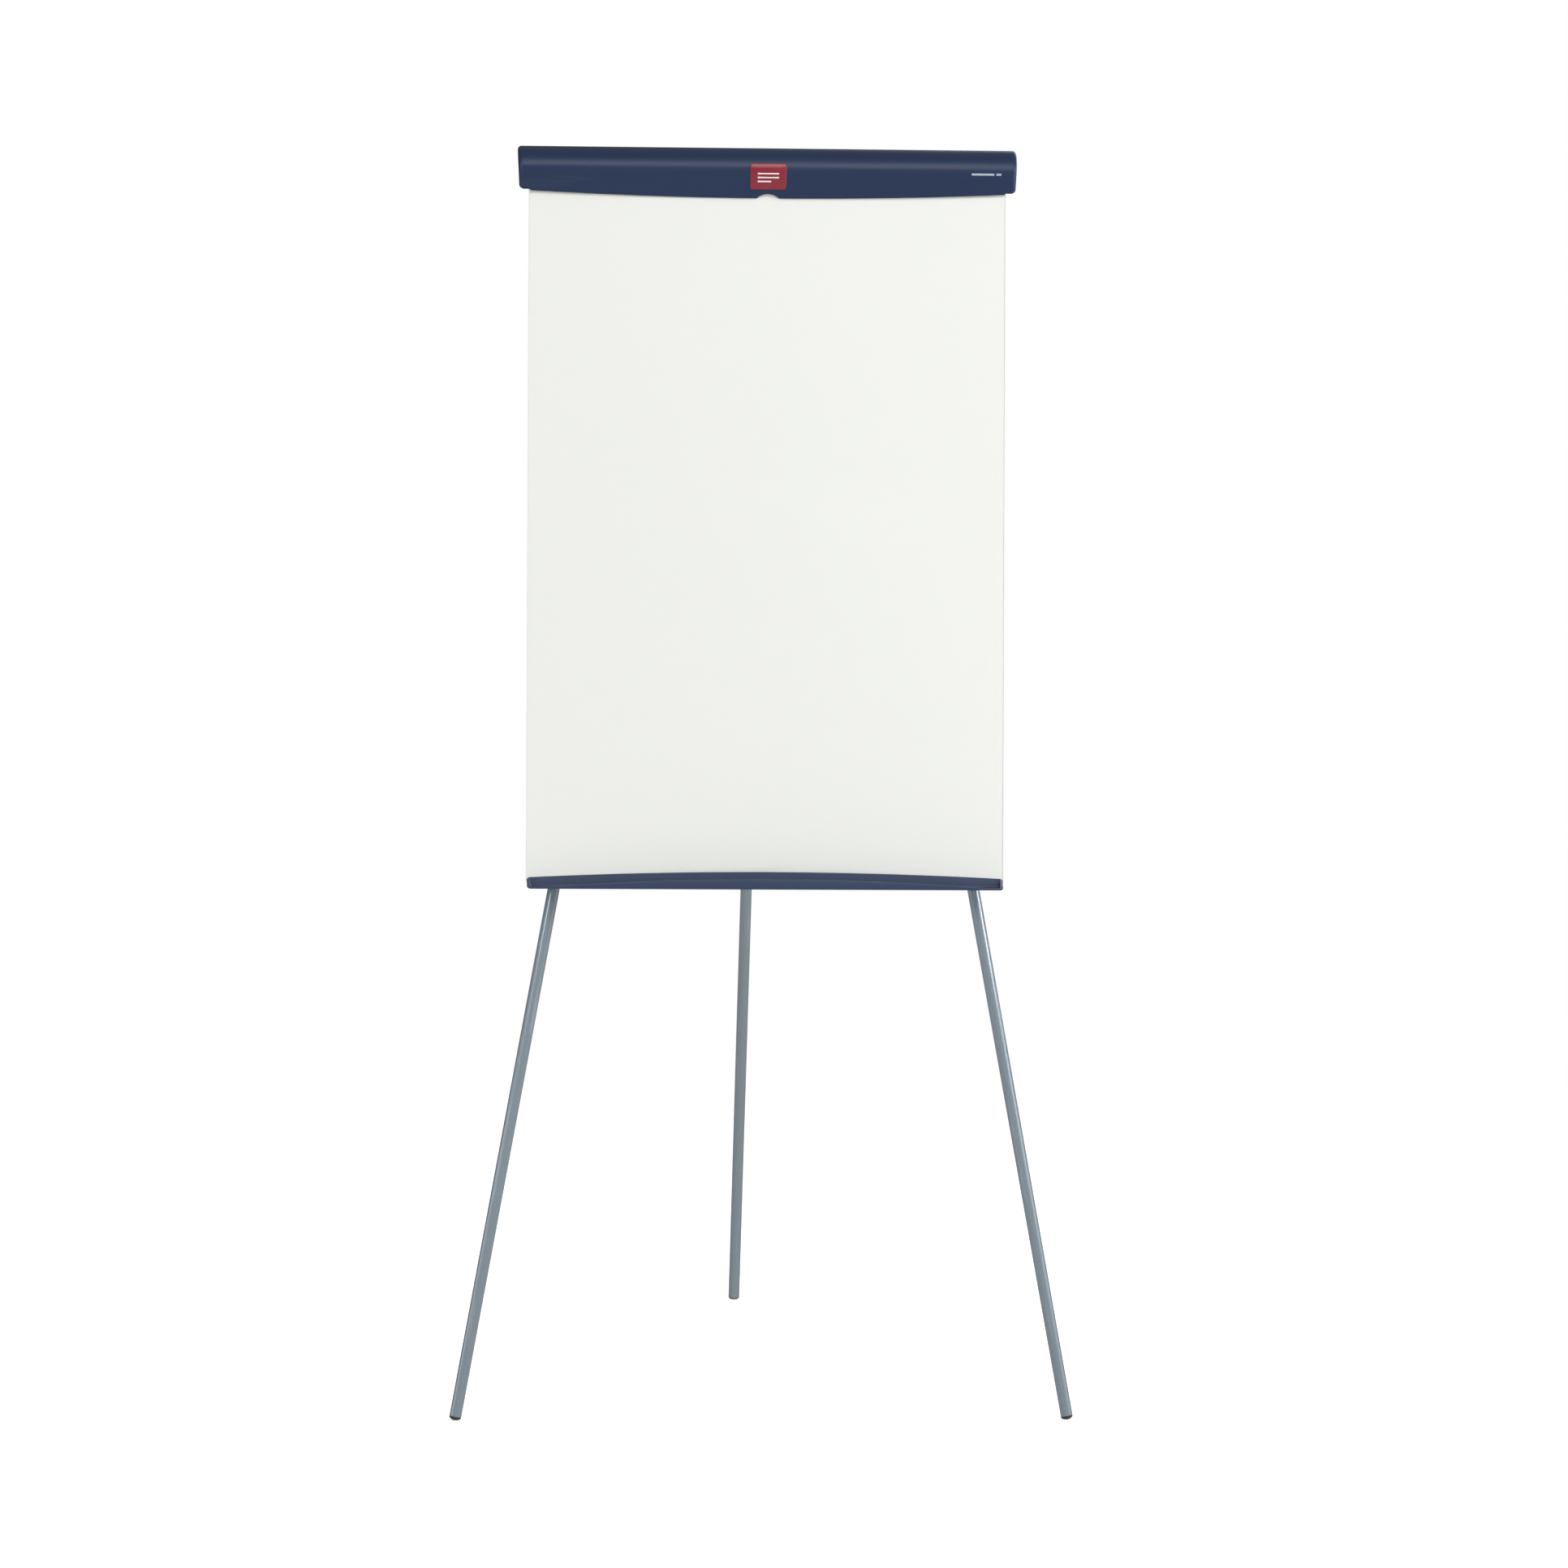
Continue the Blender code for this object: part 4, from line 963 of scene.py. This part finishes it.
def clevis_mesh():
    """A folded U bracket with rounded ears round its bolt, and a stop tab across it."""
    low, high = extent("rear_clevis", BOARD)
    _, y, z = centre_of("rear_pivot_bolt", BOARD)
    thick = 0.0020
    wide, inner = high.x, high.x - thick

    def folded(bm):
        beyond = high.y + 0.01
        section = [(-wide, low.y, 0.003), (wide, low.y, 0.003), (wide, beyond), (inner, beyond)]
        section += [(inner, low.y + thick, 0.001), (-inner, low.y + thick, 0.001)]
        section += [(-inner, beyond), (-wide, beyond)]
        prism(bm, rounded(section, 5), low.z, high.z, "Z")

    def side(bm):
        outline = [(low.y - 0.001, low.z - 0.001), (low.y + 0.006, low.z - 0.001), (y, z - 0.014)]
        outline += arc((y, z), 0.014, -80, 60, 14)
        outline += [(y - 0.010, high.z + 0.001), (low.y - 0.001, high.z + 0.001)]
        prism(bm, outline, -wide - 0.01, wide + 0.01)

    def stop(bm):
        prism(bm, box_outline(0.0112, z + 0.0075, 0.0134, high.z), -inner - 0.001, inner + 0.001)

    made = carved(mesh_of("clevis", folded), mesh_of("side", side), "INTERSECT")
    return carved(made, mesh_of("stop", stop), "UNION")


BRACKET_THICK = 0.0033


def build_bracket(side):
    """A strap up the board's back, stepped over the rail, with an eye round the rod."""
    low, high = extent(f"hinge_bracket_{side}", BOARD)
    _, y, z = centre_of("hinge_rod", BOARD)
    rail_low, rail_high = extent("top_rail", BOARD)
    rail, rail_foot = rail_high.y + FIT, rail_low.z - FIT
    back = low.y + BRACKET_THICK

    def shape(bm):
        outline = [(low.y, low.z, 0.0006), (back, low.z, 0.0015), (back, z - 0.0050, 0.003)]
        outline += [(y + 0.0035, z - 0.0040)] + arc((y, z), 0.0050, -40, 180, 16)
        outline += [(y - 0.0050, z - 0.004), (rail, z - 0.008, 0.002)]
        outline += [(rail, rail_foot), (low.y, rail_foot)]
        prism(bm, rounded(outline), low.x, high.x)

    add_piece(f"hinge_bracket_{side}", shape, BOARD, "plate_paint", bevel=0.0005)


def build_rod(bm):
    low, high = extent("hinge_rod", BOARD)
    middle = (low + high) / 2
    half, radius = (high.x - low.x) / 2, (high.z - low.z) / 2
    profile = [(0, half)] + near(radius, half, (-0.5, 0), (0, -0.5))
    lathe(bm, mirrored(profile), shift(*middle) @ facing("Y", 1), 24)


def build_spring(side):
    """Coil about the rod, with one leg down behind the board and one under the bar's back edge."""
    low, high = extent(f"torsion_spring_{side}", BOARD)
    _, y, z = centre_of("hinge_rod", BOARD)
    coil, wire, turns, per_turn = 0.0040, 0.0006, 5.4, 20
    sign = SIDES[side]
    start = (low.x if sign > 0 else -high.x) + wire
    pitch = 2 * wire + 0.0002
    route = [Vector((sign * start, y - coil, z - below)) for below in (0.012, 0.006)]
    steps = round(turns * per_turn)
    for i in range(steps + 1):
        angle = pi - 2 * pi * i / per_turn
        x = sign * (start + pitch * i / per_turn)
        route.append(Vector((x, y + coil * cos(angle), z + coil * sin(angle))))
    route.append(Vector((sign * (start + pitch * turns), y + 0.0105, z + 0.0005)))
    add_piece(f"torsion_spring_{side}", lambda bm: sweep(bm, route, wire), BOARD, "zinc_steel")


def build_hook(side):
    """Saddle on the rail with a peg whose tip turns up."""
    low, high = extent(f"pad_hook_{side}", BOARD)
    rail_low, rail_high = extent("top_rail", BOARD)
    front, back = rail_low.y - FIT, rail_high.y + FIT
    top, wall = rail_high.z + FIT, 0.0020
    skirt = 1.7510  # how low its back reaches
    middle = (low.x + high.x) / 2
    peg = board_high.z + 0.0005
    tip = low.y

    def shape(bm):
        outline = [(front - wall, low.z, 0.0007), (front, low.z, 0.0007), (front, top), (back, top)]
        outline += [(back, skirt, 0.0007), (back + wall, skirt, 0.0007)]
        outline += [(back + wall, top + wall, 0.0016), (front - wall, top + wall, 0.0016)]
        prism(bm, rounded(outline), low.x, high.x)
        profile = near(0, 0, (0, 0), (2.6, 0))
        profile += near(0, front - tip, (2.6, -4.2), (2.4, -1.6), (1.6, -0.4), (0, 0))
        lathe(bm, profile, shift(middle, front, peg) @ facing("X", 1), 28)
        horn = near(0, 0, (0, 5.5), (0.9, 5.2), (1.5, 4.2), (1.6, 0), (0, 0))
        lathe(bm, horn, shift(middle, tip + 0.0018, peg), 20)

    add_piece(f"pad_hook_{side}", shape, BOARD, "black_plastic", bevel=0.0004)


def build_clip(side):
    """Open clip that the front leg rests in, with two moulded ribs and a screw foot."""
    leg = LEG[side]
    low, high = extent(f"leg_clip_{side}", leg)
    base = low.y
    sign = SIDES[side]
    hold, wall, jaw = 0.0103, 0.0030, -0.010
    foot, foot_end = base + 0.0035, 0.030

    def shape(bm):
        outline = [(jaw, -hold)] + arc((0, 0), hold, 270, 450, 20)
        outline += [(jaw, hold, 0.0012), (jaw, hold + wall, 0.0012)]
        outline += arc((0, 0), hold + wall, 90, 0, 12)
        outline += [(hold + wall, foot, 0.002), (foot_end, foot, 0.001), (foot_end, base)]
        outline.append((jaw, base))
        flat = [(sign * x, y) for x, y in rounded(outline)]
        prism(bm, flat, low.z, high.z, "Z")
        for share in (0.25, 0.75):
            z = low.z + (high.z - low.z) * share
            rib = arc((0, 0), hold + wall - 0.001, 85, 0, 12)
            rib += arc((0, 0), hold + wall + 0.0012, 0, 85, 12)
            prism(bm, [(sign * x, y) for x, y in rib], z - 0.0012, z + 0.0012, "Z")

    add_piece(f"leg_clip_{side}", shape, leg, "black_plastic", bevel=0.0005)


def build_rail(bm):
    low, high = extent("top_rail", BOARD)
    wall = 0.0012
    front, back, roof = low.y + wall, high.y - wall, high.z - wall
    outline = [(low.y, low.z, 0.0003), (front, low.z, 0.0003), (front, roof), (back, roof)]
    outline += [(back, low.z, 0.0003), (high.y, low.z, 0.0003)]
    outline += [(high.y, high.z, 0.0006), (low.y, high.z, 0.0006)]
    prism(bm, rounded(outline, 3), low.x, high.x)


def build_bush(side):
    low, high = extent(f"leg_pivot_bush_{side}", BOARD)
    middle = (low + high) / 2
    half, radius = (high.y - low.y) / 2, (high.x - low.x) / 2

    def shape(bm):
        profile = [(0.0033, half)] + near(radius, half, (-0.5, 0), (0, -0.5), (-0.6, -1.2))
        lathe(bm, mirrored(profile), shift(*middle) @ facing("X", 1), 32, True)

    add_piece(f"leg_pivot_bush_{side}", shape, BOARD, "black_plastic")


def build_fittings():
    add_piece("top_rail", build_rail, BOARD, "rail_alloy")
    add_piece("head_plate", build_head_plate, BOARD, "plate_paint", bevel=0.0005)
    add_piece("rear_clevis", clevis_mesh(), BOARD, "plate_paint", bevel=0.0004)
    add_piece("hinge_rod", build_rod, BOARD, "zinc_steel")
    for side in SIDES:
        build_bracket(side)
        build_spring(side)
        build_hook(side)
        build_clip(side)
        build_bush(side)


# ---- legs
TUBE_WALL = 0.0012


def build_leg(name):
    space = LEG[name]
    build_tube(f"upper_tube_{name}", space)
    build_cap(name, space)
    build_tube(f"lower_tube_{name}", space)
    build_collar(name, space)
    build_knob(name, space)
    build_foot(name, space)


def build_tube(node, space):
    """A tube whose ends are a little rounded."""
    low, high = extent(node, space)
    outer, bore = high.x, high.x - TUBE_WALL
    profile = near(bore, high.z, (0, -0.3), (0.3, 0)) + near(outer, high.z, (-0.3, 0), (0, -0.3))
    profile += near(outer, low.z, (0, 0.3), (-0.3, 0)) + near(bore, low.z, (0.3, 0), (0, 0.3))
    add_piece(node, lambda bm: lathe(bm, profile, sides=64, closed=True), space, "leg_paint")


def build_cap(name, space):
    """Domed plug in the top of the upper tube."""
    low, high = extent(f"tube_cap_{name}", space)
    tube_high = extent(f"upper_tube_{name}", space)[1]
    outer, rim = tube_high.x, tube_high.z + FIT

    def cap(bm):
        profile = near(0, high.z, (0, 0), (3.2, -0.12), (5.8, -0.5), (8.0, -1.3), (9.4, -2.3))
        profile += near(outer, rim, (0, 0.6), (0, 0.1), (-0.3, 0), (-1.5, 0))
        profile += near(outer, low.z, (-1.5, 1), (-2.2, 0))
        lathe(bm, profile + [(0, low.z)])

    add_piece(f"tube_cap_{name}", cap, space, "black_plastic")


def ripple(count, depth):
    return lambda angle: depth * cos(count * angle)


COLLAR_RIBS = ripple(36, 0.00045)
KNOB_LOBES = ripple(5, 0.0013)


def build_collar(name, space):
    """Clamping collar: plain bands, a ribbed waist, and a boss for the knob's screw."""
    low, high = extent(f"lock_collar_{name}", space)
    knob_z = centre_of(f"lock_knob_{name}", space).z
    tube_low, tube_high = extent(f"upper_tube_{name}", space)
    tube_out, step = tube_high.x + FIT, tube_low.z - FIT
    small = extent(f"lower_tube_{name}", space)[1].x + FIT
    radius = high.x

    def body(bm):
        profile = near(tube_out, high.z, (0, -0.4), (0.4, 0))
        profile += near(radius, high.z, (-2.6, 0), (-2.0, -0.2), (-0.4, -2.2), (0, -3.2))
        profile += near(radius, high.z, (0, -6.2), (-0.7, -6.8, 1))
        profile += near(radius, low.z, (-0.7, 10.5, 1), (0, 9.9), (0, 5.0), (-0.6, 3.6))
        profile += near(radius, low.z, (-3.0, 0.4), (-3.6, 0))
        profile += near(small, low.z, (0.4, 0), (0, 0.4)) + [(small, step), (tube_out, step)]
        lathe(bm, profile, sides=144, closed=True, ripple=COLLAR_RIBS)

    def boss(bm):
        profile = near(0, high.y, (2.8, 0), (7.0, 0), (7.5, -0.5))
        profile += near(0, 0, (7.5, 15.0), (8.0, 13.5), (8.8, 12.2), (2.8, 11.8))
        lathe(bm, profile, shift(0, 0, knob_z) @ facing("X", -1), 40, True)

    def collar(bm):
        body(bm)
        boss(bm)

    add_piece(f"lock_collar_{name}", collar, space, "black_plastic")


def build_knob(name, space):
    """Five-lobed knob with a dished face, on its screw."""
    low, high = extent(f"lock_knob_{name}", space)
    place = shift(0, 0, (low.z + high.z) / 2) @ facing("X", -1)
    back, face = high.y - 0.0097, high.y

    def shape(bm):
        rim = 0.0115
        profile = near(0, face, (0, -1.0), (4.5, -1.0), (5.8, -0.8), (6.6, -0.1), (7.2, 0))
        profile += near(rim, face, (-1.6, 0, 0.8), (-0.5, -0.4, 1), (0, -1.3, 1))
        profile += near(rim, back, (0, 3.0, 1), (-0.8, 1.2, 1), (-2.6, 0.2, 0.6), (-3.4, 0, 0.4))
        profile += near(0, back, (4.0, 0), (2.5, -0.2))
        profile += near(0, low.y, (2.5, 0.6), (2.0, 0), (0, 0))
        lathe(bm, profile, place, 120, ripple=KNOB_LOBES)

    add_piece(f"lock_knob_{name}", shape, space, "black_plastic")


DOME_STEPS = 14


def build_foot(name, space):
    """Rubber plug with a domed foot, worn flat where it stands."""
    low, high = extent(f"foot_plug_{name}", space)
    radius = high.x
    end = extent(f"lower_tube_{name}", space)[0].z
    dome = 0.0040
    tip = end - 0.0055
    ball = (radius * radius + dome * dome) / (2 * dome)
    stem = radius - 0.0015

    def shape(bm):
        profile = [(0, high.z)] + near(stem, high.z, (-0.8, 0), (0, -1.0)) + [(stem, end - FIT)]
        profile += near(radius, end - FIT, (-0.3, 0), (0, -0.3))
        profile.append((radius, tip + dome + 0.0002))
        for i in range(1, DOME_STEPS):
            part = radius / ball * (1 - i / DOME_STEPS)
            profile.append((ball * part, tip + ball * (1 - sqrt(1 - part * part))))
        profile.append((0, tip))
        lathe(bm, profile, sides=64)
        floor = space.inverted()
        for vertex in bm.verts:
            spot = space @ vertex.co
            if spot.z < 0:
                spot.z = 0
                vertex.co = floor @ spot

    add_piece(f"foot_plug_{name}", shape, space, "foot_rubber")


# ---- board
def build_board():
    """The board's layers and the slide bushes keep their CAD meshes and get better materials."""
    finishes = {"board_back_sheet": "backing_paper", "board_core": "fibreboard"}
    for node in ("writing_face", "edge_band_left", "edge_band_right"):
        finishes[node] = "melamine"
    for name in LEGS:
        finishes[f"slide_bush_{name}"] = "black_plastic"
    for node, look in finishes.items():
        for slot in frame["nodes"][node].material_slots:
            slot.material = LOOKS[look]


# ---- floor, light and sky
FLOOR_RADIUS = 60.0
FLOOR_GLOW = 0.50
FADE_START, FADE_END = 0.9, 3.2  # the floor turns plain white between these distances
# brightness of the surroundings, from straight down (0) past the horizon (0.5) to straight up (1)
SKY = ((0.0, 0.66), (0.38, 0.39), (0.50, 0.15), (0.64, 0.15), (1.0, 0.40))
# name: azimuth from the front towards the right, elevation, distance, width, height, radiance
SOFTBOXES = {
    "overhead": (8, 35, 10.0, 6.4, 3.8, 4.9),
    "right": (70, 15, 3.6, 2.0, 1.8, 6.9),
    "right_low": (76, -9.5, 3.6, 2.0, 1.0, 1.0),
    "left": (-46, 18.5, 4.2, 0.5, 2.0, 7.0),
    "left_strip": (-46, 17.5, 4.1, 0.8, 2.0, 4.0),
    "left_low": (-80, -9.5, 3.6, 2.0, 1.0, 1.3),
    "fill": (-6, -10, 3.6, 3.6, 0.9, 3.8),
    "back": (150, 25, 4.0, 2.5, 2.5, 2.0),
    "back_fill": (190, 20, 5.0, 3.0, 3.0, 3.0),
}
UNREFLECTED = ("fill", "back_fill")
ONLY_REFLECTED = ("left_strip",)
AIM = Vector((0, -0.25, 1.15))  # the softboxes face this point


def build_floor():
    """A pale floor that fades to white away from the easel."""

    def disc(bm):
        bmesh.ops.create_circle(bm, cap_ends=True, segments=96, radius=FLOOR_RADIUS)

    glow = {"Emission_Color": WHITE, "Emission_Strength": FLOOR_GLOW}
    look = Look("floor", Specular_IOR_Level=0.1, **glow)
    where = {0: look.coordinates["Object"]}
    away = look.add("ShaderNodeVectorMath", where, "Value", operation="LENGTH")
    tone = look.noise(0.6, 3.0)
    look.paint(tone, (0.80, 0.80, 0.80), (0.84, 0.84, 0.84))
    look.rough(tone, 0.75, 0.85)
    look.bump((look.noise(900.0), 30))
    far = look.add("ShaderNodeEmission", {"Color": WHITE, "Strength": 1.0}, 0)
    faded = {0: look.span(away, FADE_START, FADE_END), 1: look.shader.outputs[0], 2: far}
    mixed = look.add("ShaderNodeMixShader", faded, 0)
    look.tree.links.new(mixed, look.tree.nodes["Material Output"].inputs["Surface"])
    floor = add_object("floor", mesh_of("floor", disc), Matrix())
    floor.data.materials.append(look.material)
    floor.visible_glossy = False
    floor.visible_diffuse = False


def build_sky():
    """White for the camera; for everything else a soft gradient from below to above."""
    world = bpy.data.worlds.new("sky")
    scene.world = world
    world.use_nodes = True
    tree = world.node_tree
    tree.nodes.clear()
    direction = add_node(tree, "ShaderNodeTexCoord", {}).outputs["Generated"]
    up = add_node(tree, "ShaderNodeSeparateXYZ", {0: direction}).outputs["Z"]
    share = add_node(tree, "ShaderNodeMath", {0: up, 1: 0.5, 2: 0.5}, operation="MULTIPLY_ADD")
    ramp = add_node(tree, "ShaderNodeValToRGB", {0: share.outputs[0]})
    stops = ramp.color_ramp.elements
    for position, _ in SKY[1:-1]:
        stops.new(position)
    for stop, (_, tone) in zip(stops, SKY):
        stop.color = (tone, tone, tone, 1.0)
    sky = add_node(tree, "ShaderNodeBackground", {"Color": ramp.outputs[0]}).outputs[0]
    white = add_node(tree, "ShaderNodeBackground", {"Color": WHITE}).outputs[0]
    seen = add_node(tree, "ShaderNodeLightPath", {}).outputs["Is Camera Ray"]
    mixed = add_node(tree, "ShaderNodeMixShader", {0: seen, 1: sky, 2: white})
    add_node(tree, "ShaderNodeOutputWorld", {0: mixed.outputs[0]})


def build_lights():
    for name, (azimuth, elevation, distance, width, height, radiance) in SOFTBOXES.items():
        data = bpy.data.lights.new(name, "AREA")
        data.shape = "RECTANGLE"
        data.size, data.size_y = width, height
        data.energy = radiance * width * height * pi
        a, e = radians(azimuth), radians(elevation)
        away = Vector((sin(a) * cos(e), -cos(a) * cos(e), sin(e)))
        turned = away.to_track_quat("Z", "Y").to_matrix().to_4x4()
        light = add_object(name, data, Matrix.Translation(AIM + away * distance) @ turned)
        light.visible_glossy = name not in UNREFLECTED
        light.visible_diffuse = name not in ONLY_REFLECTED


# ---- assembly
build_clamp()
tray_plastic = navy_plastic("tray_plastic", TRAY_NAVY)
add_piece("pen_tray", build_tray, TRAY, "navy_plastic", look=tray_plastic)
build_fasteners()
build_nut()
build_fittings()
for label in LEGS:
    build_leg(label)
build_board()
build_floor()
build_sky()
build_lights()
scene.view_settings.view_transform = "Standard"
